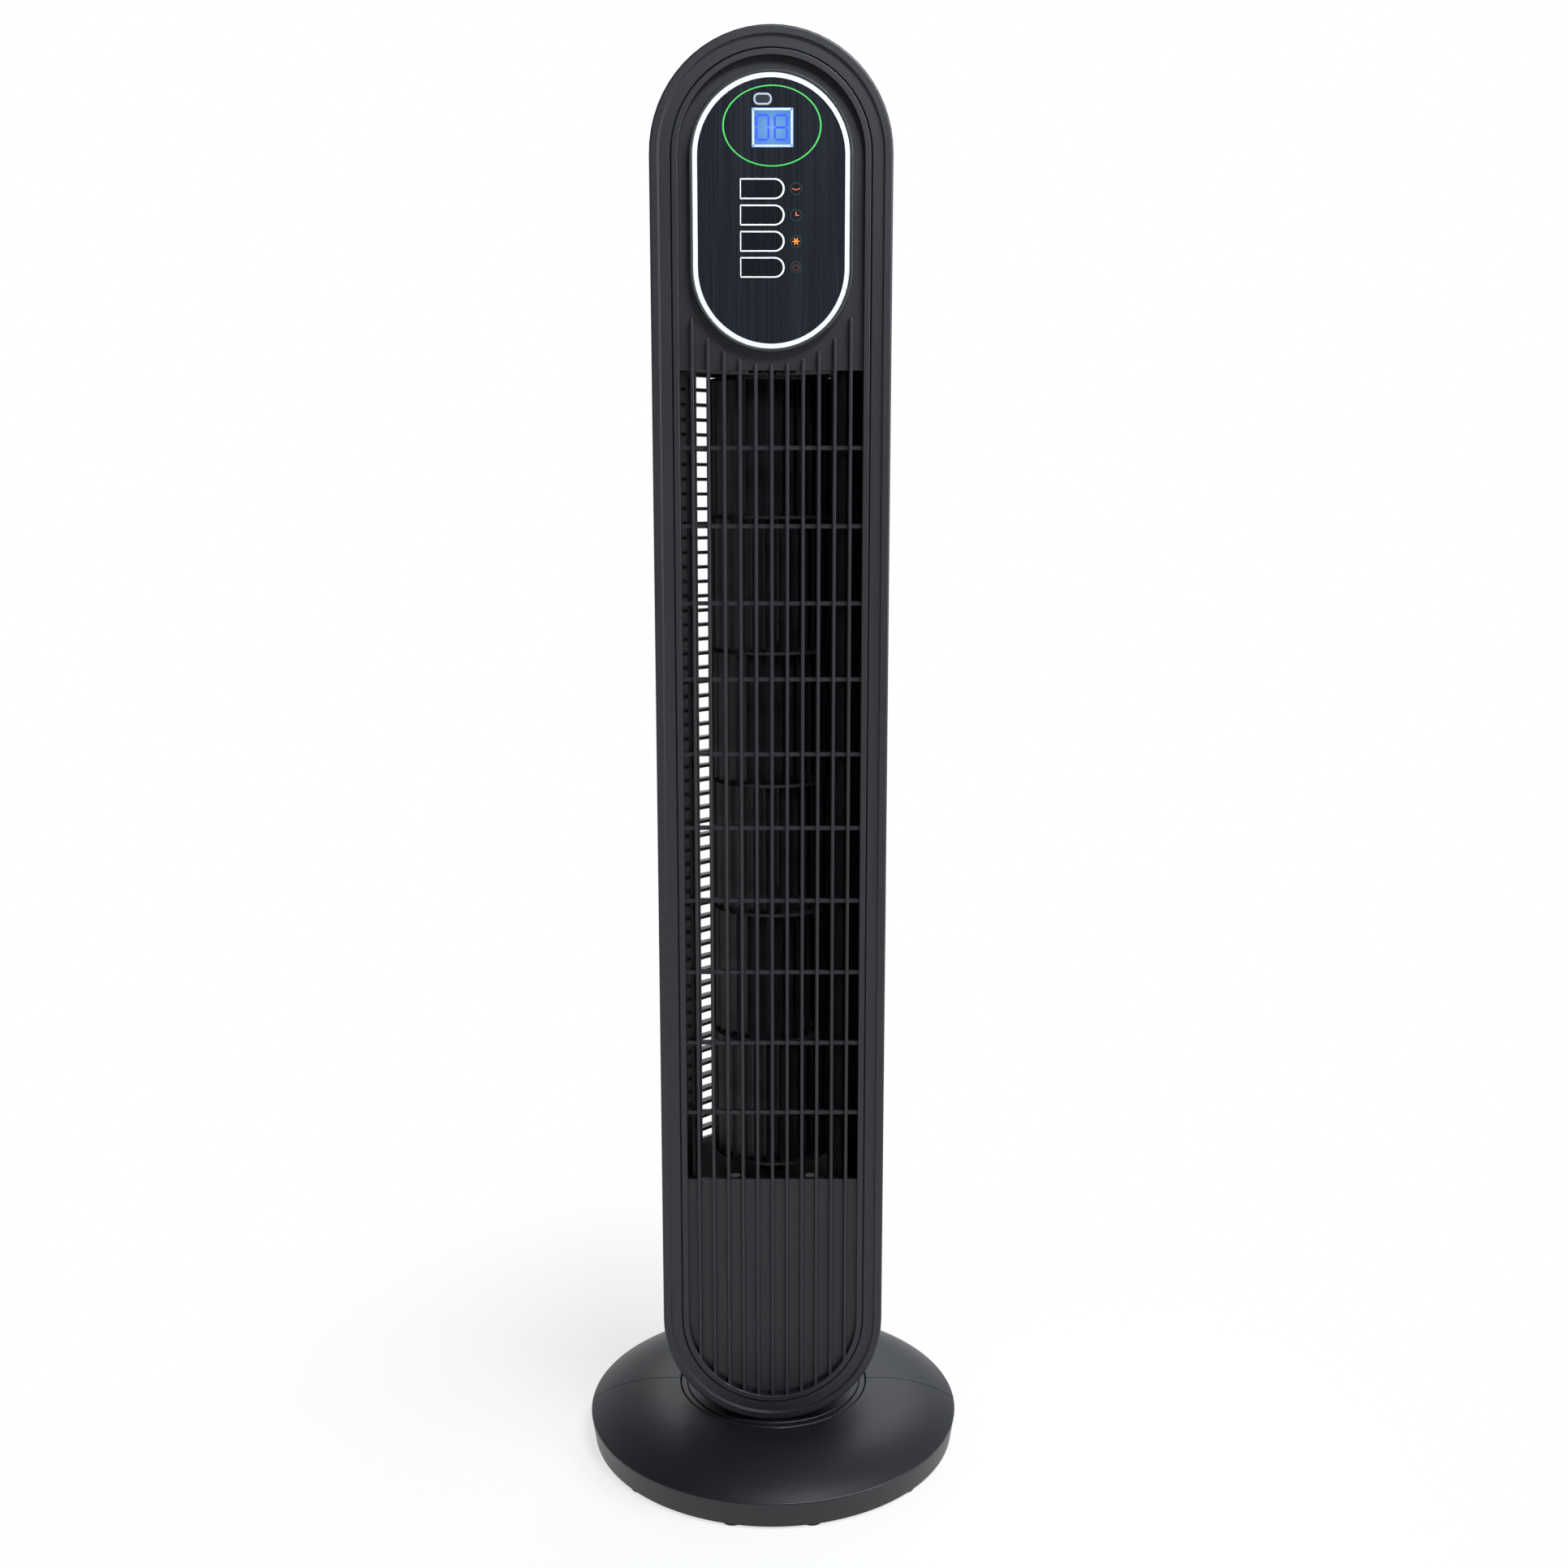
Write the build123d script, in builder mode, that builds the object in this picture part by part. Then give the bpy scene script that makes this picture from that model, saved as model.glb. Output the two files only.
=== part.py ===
from build123d import *
import os
from math import acos, cos, degrees, pi, radians, sin, sqrt, tan

# Tower fan: a column that swings on a round two-piece base, with a crossflow rotor behind
# its front grille. Millimetres. The swing axis is Z, the floor is z = 0 and the front looks
# along -Y, so "forward" below is the distance ahead of the swing axis.

os.makedirs("parts", exist_ok=True)

# ---------------------------------------------------------------- clearances
slide_gap = 0.3
running_fit = 0.05
loose_fit = 0.2
seam_gap = 0.5
collar_gap = 0.8
press_gap = 0.1
edge_round = 0.6
cut_margin = 1.0
boss_floor = 2.0
screw_floor = 0.5

# ---------------------------------------------------------------- base
base_radius = 111.0
base_draft = 2.2
base_lift = 2.0
rim_height = 16.2
rim_edge_round = 1.1
shoulder_inset = 0.8
shoulder_height = 17.2
dome_top = 30.4
dome_flat_width = 9.0
base_wall = 2.5
collar_opening = 57.0
ledge_depth = 6.4
foot_inset = 9.5
foot_radius = 6.0
foot_socket = 2.0
foot_angles = (12.6, 48.0)
rib_angles = (0.0, 30.0, 66.0)
rib_bottom = 14.0
base_rib_thickness = 2.0
rib_end_inset = 0.75
cord_height = 8.5
cord_hole_radius = 3.5
cord_bush_radius = 5.2
cord_flange_radius = 6.6
cord_flange = 1.2
neck_screw_shift = 6.0

# ---------------------------------------------------------------- neck and swing drive
flange_thickness = 2.5
collar_ring = 3.7
spigot_radius = 14.0
wire_bore = 9.0
stub_radius = 20.0
stub_bottom = 9.0
nut_radius = 34.0
nut_thickness = 6.0
nut_grips = 12
nut_grip_radius = 2.5
slide_inner = 33.0
slide_outer = 40.0
slide_thickness = 1.5
disc_radius = 52.5
disc_thickness = 2.9
disc_hub_radius = 20.0
disc_hub_height = 4.5
swing_limit = 35.0
stop_circle = 46.0
stop_depth = 6.0
stop_half_angle = 4.0
stop_margin = 0.6
gear_module = 1.0
gear_teeth = 36
pinion_teeth = 12
sector_teeth = 14
gear_thickness = 6.0
pressure_angle = 20.0
backlash = 0.25
mesh_clearance = 0.1
gear_dedendum = 1.25
tooth_overlap = 0.4
gear_screw_radius = 1.25
gear_screw_head = 2.2
gear_screw_head_height = 1.6
gear_screw_length = 12.0
pinion_shaft_radius = 3.0
pinion_shaft_rise = 10.0
foot_ring = 40.0
foot_wall = 2.5
foot_setback = 0.5
foot_drop = 29.5
foot_flange_radius = 47.0
foot_post_circle = 34.2
foot_shaft_hole = 4.0
foot_wire_hole = 7.0
foot_screw_length = 11.0
foot_post_angles = (35, 145, 215, 325)
flange_screw_circle = 43.7
flange_screw_grip = 3.0
flange_screw_bore = 5.0
flange_screw_angles = (10, 70, 110, 170)
platform_gap = 4.0
platform_thickness = 2.5
swing_motor_radius = 24.0
swing_motor_height = 17.0
swing_motor_round = 1.5
swing_motor_offset = 14.0
swing_motor_ear = 29.0
swing_motor_plate = 1.2

# ---------------------------------------------------------------- column
tower_width = 126.0
straight_height = 643.0
front_reach = 50.0
frame_depth = 20.0
frame_wall = 2.2
rim_width = 4.6
rim_round = 1.2
rim_inner_round = 0.5
channel_width = 6.2
channel_depth = 1.5
channel_thickness = 2.0
groove_width = 0.6
ridge_width = 3.2
ridge_recess = 0.8
body_inset = 1.5
body_wall = 2.5

# ---------------------------------------------------------------- front grille
floor_recess = 5.0
floor_thickness = 2.5
rib_count = 11
rib_pitch = 8.35
rib_width = 2.3
rib_draft = 5.0
rib_round = 0.4
rib_recess = 0.3
cell_rows = 11
bar_height = 2.2
window_lift = 82.7
window_drop = 107.1

# ---------------------------------------------------------------- rear grille and handle
slat_count = 54
slat_thickness = 1.9
slat_depth = 5.0
slat_recess = 0.6
rear_window_side = 12.1
rear_window_rise = 1.3
rear_border = 3.0
stay_width = 3.0
handle_drop = 34.0
handle_width = 84.0
handle_height = 30.0
handle_depth = 26.0
handle_wall = 2.0

# ---------------------------------------------------------------- rotor and its motor
impeller_radius = 35.0
impeller_lift = 5.0
impeller_drop = 3.2
segment_count = 6
blade_count = 30
blade_chord = 8.6
blade_camber = 1.2
blade_thickness = 0.9
blade_lean = 45.0
blade_inset = 0.3
partition_thickness = 1.6
partition_bore = 24.0
hub_radius = 9.0
hub_height = 14.0
hub_drop = 4.0
hub_cap = 2.0
hub_clearance = 1.5
motor_shaft_radius = 4.0
motor_shaft_overrun = 1.0
motor_shaft_stop = 3.0
motor_standoff = 6.0
motor_screw_grip = 5.0
stub_shaft_radius = 3.0
stub_shaft_overrun = 3.0
shaft_chamfer = 0.5
bulkhead_thickness = 3.0
lower_gap = 8.2
upper_gap = 3.4
shelf_depth = 3.0
guide_thickness = 1.6
guide_gap = 7.0
guide_start = 1.0
guide_left_flare = 3.0
guide_left_bend = 16.0
guide_left_end = (5.0, 10.0)
guide_nose_gap = 4.5
guide_nose_angle = -34.7
guide_nose_mouth = 6.5
guide_nose_bend = (1.5, 10.5)
guide_scroll_bend = (8.5, 12.0)
guide_scroll_end = (2.0, 19.5)
top_bearing_radius = 6.5
bearing_rubber_radius = 10.5
motor_radius = 38.0
stator_height = 16.0
shell_height = 16.0
shell_inset = 2.0
shell_wall = 1.5
rotor_radius = 19.0
stator_notch = 3.0
winding_height = 8.0
winding_gap = 2.5
winding_air = 1.5
air_gap = 0.6
bearing_radius = 7.0
bearing_height = 8.0
mount_circle = 31.0
post_radius = 4.0

# ---------------------------------------------------------------- control panel
panel_drop = 0.9
panel_length = 55.8
bezel_radius = 42.4
bezel_width = 1.7
bezel_height = 5.0
ring_width = 2.4
ring_recess = 0.5
film_recess = 0.8
tray_thickness = 2.0
tray_opening = 40.0
tray_lip = 0.5
hook_thickness = 1.2
hook_length = 10.0
hook_stem = 2.0
hook_reach = 1.9
button_width = 23.1
button_height = 10.4
button_pitch = 13.05
button_drop = 16.35
button_side = -4.6
button_proud = 0.5
button_flange = 0.8
button_travel = 0.8
button_flange_thickness = 1.2
button_round = 0.3
button_count = 4
stem_radius = 1.4
stem_offset = 2.0
stem_entry = 0.8
switch_height = 3.5
switch_size = 6.0
lamp_side = 12.85
lamp_radius = 3.15
lamp_pipe_radius = 2.0
lamp_body_radius = 1.5
lamp_height = 3.0
window_proud = 0.2
module_inset = 0.8
receiver_inset = 1.0
display_width = 21.4
display_height = 19.4
display_side = 0.7
display_rise = 13.8
receiver_width = 9.5
receiver_height = 6.0
receiver_side = -4.35
receiver_rise = 27.7
board_radius = 37.0
board_thickness = 1.6
board_setback = 7.0
board_screw_side = 31.0
board_screw_rise = 19.0
board_screw_grip = 4.0
board_boss_floor = 1.0
buzzer_radius = 6.0
buzzer_hole = 1.0
buzzer_height = 8.0

# ---------------------------------------------------------------- screws
screw_radius = 1.5
screw_head_radius = 3.0
screw_head = 2.0
case_boss_radius = 4.5
case_boss_inset = 6.5
case_screw_seat = 3.0
case_screw_grip = 6.6
case_screw_lifts = (17.5, 63.5)
case_screw_drops = (85.5, 25.5)

# ---------------------------------------------------------------- worked-out places
frame_radius = tower_width / 2
dome_flat_radius = collar_opening + dome_flat_width
foot_circle = base_radius - foot_inset
ledge_top = dome_top - ledge_depth
neck_floor = ledge_top + flange_thickness
disc_bottom = neck_floor + slide_thickness + slide_gap
disc_top = disc_bottom + disc_thickness
hub_top = disc_top + disc_hub_height
gear_bottom = hub_top + slide_gap
gear_top = gear_bottom + gear_thickness
frame_bottom = disc_top + slide_gap
lower_centre = frame_bottom + frame_radius
upper_centre = lower_centre + straight_height

frame_back = front_reach - frame_depth
rim_inner = frame_radius - rim_width
channel_front = front_reach - channel_depth
rim_back = channel_front - channel_thickness
channel_inner = rim_inner - channel_width
ridge_outer = channel_inner - groove_width
floor_edge = ridge_outer - ridge_width
ridge_front = front_reach - ridge_recess
floor_front = front_reach - floor_recess
floor_back = floor_front - floor_thickness
flange_radius = frame_radius - frame_wall - slide_gap
body_radius = frame_radius - body_inset
body_inner = body_radius - body_wall

window_bottom = lower_centre + window_lift
window_top = upper_centre - window_drop
cell_pitch = (window_top - window_bottom) / cell_rows
lower_deck = window_bottom - lower_gap
upper_deck = window_top + upper_gap
impeller_bottom = window_bottom + impeller_lift
impeller_top = window_top - impeller_drop
segment_pitch = (impeller_top - impeller_bottom - partition_thickness) / segment_count
rear_window_half = body_radius - rear_window_side + 2 * loose_fit
rear_clear_bottom = lower_deck + slide_gap
rear_clear_top = window_top + rear_window_rise
rear_window_bottom = rear_clear_bottom - rear_border
rear_window_top = rear_clear_top + rear_border
slat_pitch = (rear_clear_top - rear_clear_bottom + slat_thickness) / (slat_count + 1)

panel_high = upper_centre - panel_drop
panel_low = panel_high - panel_length
panel_middle = (panel_low + panel_high) / 2
button_top = panel_high - button_drop
display_level = panel_high + display_rise
receiver_level = panel_high + receiver_rise
case_boss_side = frame_radius - case_boss_inset
case_screw_heights = [lower_centre + lift for lift in case_screw_lifts]
case_screw_heights += [upper_centre - drop for drop in case_screw_drops]

tray_front = floor_front + tray_thickness
bezel_front = floor_front + bezel_height
film_front = front_reach - film_recess
ring_front = bezel_front - ring_recess
ring_outer = bezel_radius - bezel_width - press_gap
film_radius = ring_outer - ring_width - press_gap
board_front = floor_front - board_setback
board_back = board_front - board_thickness


def level(height):
    """Horizontal working plane at a height."""
    return Plane.XY.offset(height)


def facing(forward):
    """Upright working plane that faces the front, so far ahead of the swing axis."""
    return Plane.XZ.offset(forward)


def across(height):
    """Horizontal plane whose second axis points forward, for sections of the column."""
    return Plane(origin=(0, 0, height), x_dir=(1, 0, 0), z_dir=(0, 0, -1))


def stadium(radius, low=lower_centre, high=upper_centre, mode=Mode.ADD):
    """Upright stadium between two end centres."""
    with Locations((0, (low + high) / 2)):
        SlotCenterToCenter(high - low, 2 * radius, rotation=90, mode=mode)


def track(section, low=lower_centre, high=upper_centre):
    """Ring that carries a section round a stadium: x is the distance from its centre line."""
    with BuildPart() as ring:
        with BuildSketch(across(low)):
            add(section)
        extrude(amount=low - high)
        with BuildSketch(across(low)):
            add(section)
        revolve(axis=Axis((0, 0, low), (0, 1, 0)), revolution_arc=90)
        with BuildSketch(across(high)):
            add(section)
        revolve(axis=Axis((0, 0, high), (0, -1, 0)), revolution_arc=90)
        mirror(about=Plane.YZ)
    return ring.part


def finish(piece, name):
    """Label one finished piece and write it."""
    piece.part.label = name
    export_step(piece.part, f"parts/{name}.step")


# ================================================================ base
dome_drop = dome_top - shoulder_height
dome_run = base_radius - shoulder_inset - dome_flat_radius
dome_radius = (dome_run**2 + dome_drop**2) / (2 * dome_drop)
shoulder_share = dome_run / dome_radius
inner_dome = dome_radius - base_wall
middle_dome = dome_radius - base_wall / 2
middle_top = dome_top - base_wall / 2
rib_length = base_radius - collar_opening - base_wall - rib_end_inset


def shoulder(radius):
    """End of the crown's arc at one radius about the arc's centre."""
    rise = sqrt(1 - shoulder_share**2)
    return (dome_flat_radius + radius * shoulder_share, dome_top - dome_radius + radius * rise)


inner_shoulder = shoulder(inner_dome)
middle_shoulder = shoulder(middle_dome)
cord_length = 2 * base_wall + base_draft + cord_flange
neck_screw_circle = (stub_radius + collar_opening) / 2 + neck_screw_shift


def base_half(side):
    """One half of the base shell; side is -1 for the front half and 1 for the rear."""
    with BuildPart() as half:
        with BuildSketch(level(rib_bottom)):
            for angle in rib_angles:
                for hand in (-1, 1) if angle else (1,):
                    with Locations(Rotation(0, 0, side * 90 + hand * angle)):
                        with Locations((collar_opening + base_wall / 2, 0)):
                            Rectangle(rib_length, base_rib_thickness, align=(Align.MIN, Align.CENTER))
        extrude(amount=dome_top - rib_bottom)
        with BuildSketch(level(base_lift)):
            for angle in foot_angles:
                for hand in (-1, 1):
                    with Locations(Rotation(0, 0, side * 90 + hand * angle)):
                        with Locations((foot_circle, 0)):
                            Circle(foot_radius + base_wall / 2)
            Circle(base_radius - base_draft - loose_fit, mode=Mode.INTERSECT)
        extrude(amount=dome_top - base_lift)
        with BuildSketch(Plane.XZ):
            with BuildLine():
                top = Line((collar_opening, middle_top), (dome_flat_radius, middle_top))
                fall = RadiusArc(top @ 1, middle_shoulder, middle_dome)
                Polyline(
                    fall @ 1,
                    (base_radius, rim_height),
                    (base_radius, dome_top + base_wall),
                    (collar_opening, dome_top + base_wall),
                    top @ 0,
                )
            make_face()
        revolve(axis=Axis.Z, mode=Mode.SUBTRACT)
        with BuildSketch(Plane.XZ):
            with BuildLine():
                outer = Line((base_radius - base_draft, base_lift), (base_radius, rim_height))
                edge = RadiusArc(outer @ 1, (base_radius - shoulder_inset, shoulder_height), -rim_edge_round)
                crown = Line((collar_opening, dome_top), (dome_flat_radius, dome_top))
                RadiusArc(crown @ 1, edge @ 1, dome_radius)
                lip = Line(crown @ 0, (collar_opening, ledge_top))
                step = Line(lip @ 1, (stub_radius + seam_gap, ledge_top))
                under = Line(step @ 1, (stub_radius + seam_gap, ledge_top - base_wall))
                back = Line(under @ 1, (collar_opening + base_wall, ledge_top - base_wall))
                rise = Line(back @ 1, (collar_opening + base_wall, dome_top - base_wall))
                roof = Line(rise @ 1, (dome_flat_radius, dome_top - base_wall))
                RadiusArc(roof @ 1, inner_shoulder, inner_dome)
                Polyline(inner_shoulder, (base_radius - base_draft - base_wall, base_lift), outer @ 0)
            make_face()
        revolve(axis=Axis.Z)
        with BuildSketch(level(base_lift)):
            for angle in foot_angles:
                for hand in (-1, 1):
                    with Locations(Rotation(0, 0, side * 90 + hand * angle)):
                        with Locations((foot_circle, 0)):
                            Circle(foot_radius + running_fit)
        extrude(amount=foot_socket, mode=Mode.SUBTRACT)
        with BuildSketch(level(ledge_top - base_wall)):
            with PolarLocations(neck_screw_circle, 4, start_angle=45):
                Circle(screw_radius + loose_fit)
        extrude(amount=base_wall, mode=Mode.SUBTRACT)
        if side > 0:
            with BuildSketch(facing(-base_radius - cut_margin)):
                with Locations((0, cord_height)):
                    Circle(cord_bush_radius + running_fit)
            extrude(amount=cut_margin + cord_length, mode=Mode.SUBTRACT)
            with BuildSketch(facing(-base_radius - cut_margin)):
                with Locations((0, cord_height)):
                    Circle(cord_flange_radius + running_fit)
            extrude(amount=cut_margin + cord_flange, mode=Mode.SUBTRACT)
        split(bisect_by=Plane.XZ.offset(-side * seam_gap / 2), keep=Keep.BOTTOM if side > 0 else Keep.TOP)
    return half


base_front_half = base_half(-1)
finish(base_front_half, "base_front_half")
base_rear_half = base_half(1)
finish(base_rear_half, "base_rear_half")

with BuildPart() as base_feet:
    with BuildSketch(level(0)):
        for side in (-1, 1):
            for angle in foot_angles:
                for hand in (-1, 1):
                    with Locations(Rotation(0, 0, side * 90 + hand * angle)):
                        with Locations((foot_circle, 0)):
                            Circle(foot_radius)
    extrude(amount=base_lift + foot_socket)
finish(base_feet, "base_feet")

with BuildPart() as cord_bush:
    with BuildSketch(facing(-base_radius)):
        with Locations((0, cord_height)):
            Circle(cord_flange_radius)
    extrude(amount=cord_flange)
    with BuildSketch(facing(-base_radius)):
        with Locations((0, cord_height)):
            Circle(cord_bush_radius)
    extrude(amount=cord_length)
    with BuildSketch(facing(-base_radius)):
        with Locations((0, cord_height)):
            Circle(cord_hole_radius)
    extrude(amount=cord_length, mode=Mode.SUBTRACT)
finish(cord_bush, "cord_bush")

# ================================================================ neck, nut and slide ring
gear_screw_circle = (wire_bore + spigot_radius) / 2
collar_radius = collar_opening - collar_gap
stop_reach = swing_limit + 2 * stop_half_angle + stop_margin


def stop_block(angle):
    """Block on the stop circle, centred on an angle."""
    with Locations(Rotation(0, 0, angle)):
        with Locations((stop_circle, 0)):
            Rectangle(stop_depth, 2 * stop_circle * tan(radians(stop_half_angle)))


with BuildPart() as neck:
    with BuildSketch(level(stub_bottom)):
        Circle(stub_radius)
    extrude(amount=ledge_top - stub_bottom)
    with BuildSketch(level(ledge_top)):
        Circle(collar_radius)
    extrude(amount=flange_thickness)
    with BuildSketch(level(neck_floor)):
        Circle(collar_radius)
        Circle(collar_radius - collar_ring, mode=Mode.SUBTRACT)
    extrude(amount=dome_top - neck_floor)
    fillet(neck.edges().group_by(Axis.Z)[-1], edge_round)
    with BuildSketch(level(neck_floor)):
        Circle(spigot_radius)
    extrude(amount=gear_bottom - neck_floor)
    with BuildSketch(level(neck_floor)):
        for hand in (-1, 1):
            stop_block(90 + hand * stop_reach)
    extrude(amount=slide_thickness)
    with BuildSketch(level(stub_bottom)):
        Circle(wire_bore)
    extrude(amount=gear_bottom - stub_bottom, mode=Mode.SUBTRACT)
    with BuildSketch(level(ledge_top)):
        with PolarLocations(neck_screw_circle, 4, start_angle=45):
            Circle(screw_radius + running_fit)
    extrude(amount=flange_thickness - screw_floor, mode=Mode.SUBTRACT)
    with BuildSketch(level(gear_bottom)):
        with PolarLocations(gear_screw_circle, 3, start_angle=90):
            Circle(gear_screw_radius + running_fit)
    extrude(amount=gear_thickness - gear_screw_length - screw_floor, mode=Mode.SUBTRACT)
finish(neck, "neck")

with BuildPart() as neck_screws:
    with BuildSketch(level(ledge_top - base_wall)):
        with PolarLocations(neck_screw_circle, 4, start_angle=45):
            Circle(screw_head_radius)
    extrude(amount=-screw_head)
    with BuildSketch(level(ledge_top - base_wall)):
        with PolarLocations(neck_screw_circle, 4, start_angle=45):
            Circle(screw_radius)
    extrude(amount=base_wall + flange_thickness - screw_floor - loose_fit)
finish(neck_screws, "neck_screws")

with BuildPart() as lock_nut:
    with BuildSketch(level(ledge_top - base_wall)):
        Circle(nut_radius)
        Circle(stub_radius + running_fit, mode=Mode.SUBTRACT)
        with PolarLocations(nut_radius, nut_grips):
            Circle(nut_grip_radius, mode=Mode.SUBTRACT)
    extrude(amount=-nut_thickness)
finish(lock_nut, "lock_nut")

with BuildPart() as slide_ring:
    with BuildSketch(level(neck_floor)):
        Circle(slide_outer)
        Circle(slide_inner, mode=Mode.SUBTRACT)
    extrude(amount=slide_thickness)
finish(slide_ring, "slide_ring")


# ================================================================ swing gear and pinion
def involute_tooth(teeth):
    """One involute tooth about the x axis, from inside the root circle to the tip circle."""
    pitch_radius = gear_module * teeth / 2
    base_circle = pitch_radius * cos(radians(pressure_angle))
    root_radius = pitch_radius - gear_dedendum * gear_module
    tip_radius = pitch_radius + gear_module
    thin = (pi * gear_module - backlash) / 4 / pitch_radius
    involute = tan(radians(pressure_angle)) - radians(pressure_angle)

    def flank(radius):
        roll = acos(min(1.0, base_circle / radius))
        turn = thin + involute - (tan(roll) - roll)
        return (radius * cos(turn), radius * sin(turn))

    start = max(root_radius, base_circle)
    rise = [start + (tip_radius - start) * step / 3 for step in range(4)]
    upper = [flank(radius) for radius in rise]
    foot = (root_radius - tooth_overlap, upper[0][1])
    lower = [(x, -y) for x, y in upper]
    with BuildSketch() as tooth:
        with BuildLine():
            Polyline(foot, *upper, *reversed(lower), (foot[0], -foot[1]), close=True)
        make_face()
    return tooth.sketch


gear_pitch_radius = gear_module * gear_teeth / 2
pinion_pitch_radius = gear_module * pinion_teeth / 2
pinion_place = gear_pitch_radius + pinion_pitch_radius + mesh_clearance

with BuildPart() as swing_gear:
    with BuildSketch(level(gear_bottom)):
        Circle(gear_pitch_radius - gear_dedendum * gear_module)
        with PolarLocations(
            0,
            sector_teeth + 1,
            start_angle=90 - sector_teeth / 2 * 360 / gear_teeth,
            angular_range=sector_teeth * 360 / gear_teeth,
            endpoint=True,
        ):
            add(involute_tooth(gear_teeth))
        Circle(wire_bore, mode=Mode.SUBTRACT)
        with PolarLocations(gear_screw_circle, 3, start_angle=90):
            Circle(gear_screw_radius + 2 * running_fit, mode=Mode.SUBTRACT)
    extrude(amount=gear_thickness)
finish(swing_gear, "swing_gear")

with BuildPart() as gear_screws:
    with BuildSketch(level(gear_top)):
        with PolarLocations(gear_screw_circle, 3, start_angle=90):
            Circle(gear_screw_head)
    extrude(amount=gear_screw_head_height)
    with BuildSketch(level(gear_top)):
        with PolarLocations(gear_screw_circle, 3, start_angle=90):
            Circle(gear_screw_radius)
    extrude(amount=-gear_screw_length)
finish(gear_screws, "gear_screws")

pinion_plane = Plane(origin=(0, pinion_place, gear_bottom + slide_gap), z_dir=(0, 0, 1))
with BuildPart() as swing_pinion:
    with BuildSketch(pinion_plane):
        Circle(pinion_pitch_radius - gear_dedendum * gear_module)
        with PolarLocations(0, pinion_teeth, start_angle=90 + 180 / pinion_teeth):
            add(involute_tooth(pinion_teeth))
        Circle(pinion_shaft_radius + running_fit / 2, mode=Mode.SUBTRACT)
    extrude(amount=gear_thickness - 2 * slide_gap)
finish(swing_pinion, "swing_pinion")

# ================================================================ turntable disc and column foot
foot_front = frame_back - foot_setback
platform_bottom = gear_top + platform_gap
platform_top = platform_bottom + platform_thickness
foot_top = lower_centre - foot_drop


def turned(angles, radius):
    """Places at some angles on a circle."""
    return Locations(*[(radius * cos(radians(a)), radius * sin(radians(a))) for a in angles])


with BuildPart() as turntable_disc:
    with BuildSketch(level(disc_bottom)):
        Circle(disc_radius)
    extrude(amount=disc_thickness)
    fillet(turntable_disc.edges().group_by(Axis.Z)[-1], edge_round)
    with BuildSketch(level(disc_top)):
        Circle(disc_hub_radius)
    extrude(amount=disc_hub_height)
    with BuildSketch(level(disc_bottom)):
        stop_block(90)
    extrude(amount=-slide_thickness)
    with BuildSketch(level(disc_bottom)):
        Circle(spigot_radius + running_fit)
    extrude(amount=hub_top - disc_bottom, mode=Mode.SUBTRACT)
    with BuildSketch(level(disc_bottom)):
        with turned(foot_post_angles, foot_post_circle):
            Circle(screw_radius + loose_fit)
    extrude(amount=disc_thickness, mode=Mode.SUBTRACT)
    with BuildSketch(level(disc_bottom)):
        with turned(foot_post_angles, foot_post_circle):
            Circle(screw_head_radius + loose_fit)
    extrude(amount=disc_thickness / 2, mode=Mode.SUBTRACT)
finish(turntable_disc, "turntable_disc")


def foot_outline(radius, front):
    """Round outline cut flat in front of the swing axis."""
    with BuildSketch() as outline:
        Circle(radius)
        with Locations((0, -front)):
            Rectangle(2 * radius, 2 * radius, align=(Align.CENTER, Align.MIN), mode=Mode.INTERSECT)
    return outline.sketch


with BuildPart() as column_foot:
    with BuildSketch(level(disc_top)):
        add(foot_outline(foot_ring, foot_front))
        add(foot_outline(foot_ring - foot_wall, foot_front - foot_wall), mode=Mode.SUBTRACT)
    extrude(amount=foot_top - disc_top)
    with BuildSketch(level(foot_top)):
        add(foot_outline(foot_flange_radius, foot_front))
        add(foot_outline(foot_ring - foot_wall, foot_front - foot_wall), mode=Mode.SUBTRACT)
    extrude(amount=foot_wall)
    with BuildSketch(level(platform_bottom)):
        add(foot_outline(foot_ring, foot_front))
    extrude(amount=platform_thickness)
    with BuildSketch(level(disc_top)):
        with turned(foot_post_angles, foot_post_circle):
            Circle(post_radius)
    extrude(amount=platform_bottom - disc_top)
    with BuildSketch(level(disc_top)):
        with turned(foot_post_angles, foot_post_circle):
            Circle(screw_radius + running_fit)
    extrude(amount=platform_bottom - disc_top - boss_floor, mode=Mode.SUBTRACT)
    with BuildSketch(level(platform_bottom)):
        with Locations((0, pinion_place)):
            Circle(foot_shaft_hole)
        with Locations((0, -foot_post_circle / 2)):
            Circle(foot_wire_hole)
        with Locations((-swing_motor_ear, pinion_place - swing_motor_offset)):
            Circle(screw_radius + running_fit)
        with Locations((swing_motor_ear, pinion_place - swing_motor_offset)):
            Circle(screw_radius + running_fit)
    extrude(amount=platform_thickness, mode=Mode.SUBTRACT)
    with BuildSketch(level(foot_top)):
        with turned(flange_screw_angles, flange_screw_circle):
            Circle(screw_radius + loose_fit)
    extrude(amount=foot_wall, mode=Mode.SUBTRACT)
finish(column_foot, "column_foot")

with BuildPart() as foot_screws:
    with BuildSketch(level(disc_bottom + disc_thickness / 2)):
        with turned(foot_post_angles, foot_post_circle):
            Circle(screw_head_radius)
    extrude(amount=press_gap - disc_thickness / 2)
    with BuildSketch(level(disc_bottom + disc_thickness / 2)):
        with turned(foot_post_angles, foot_post_circle):
            Circle(screw_radius)
    extrude(amount=foot_screw_length)
finish(foot_screws, "foot_screws")

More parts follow.
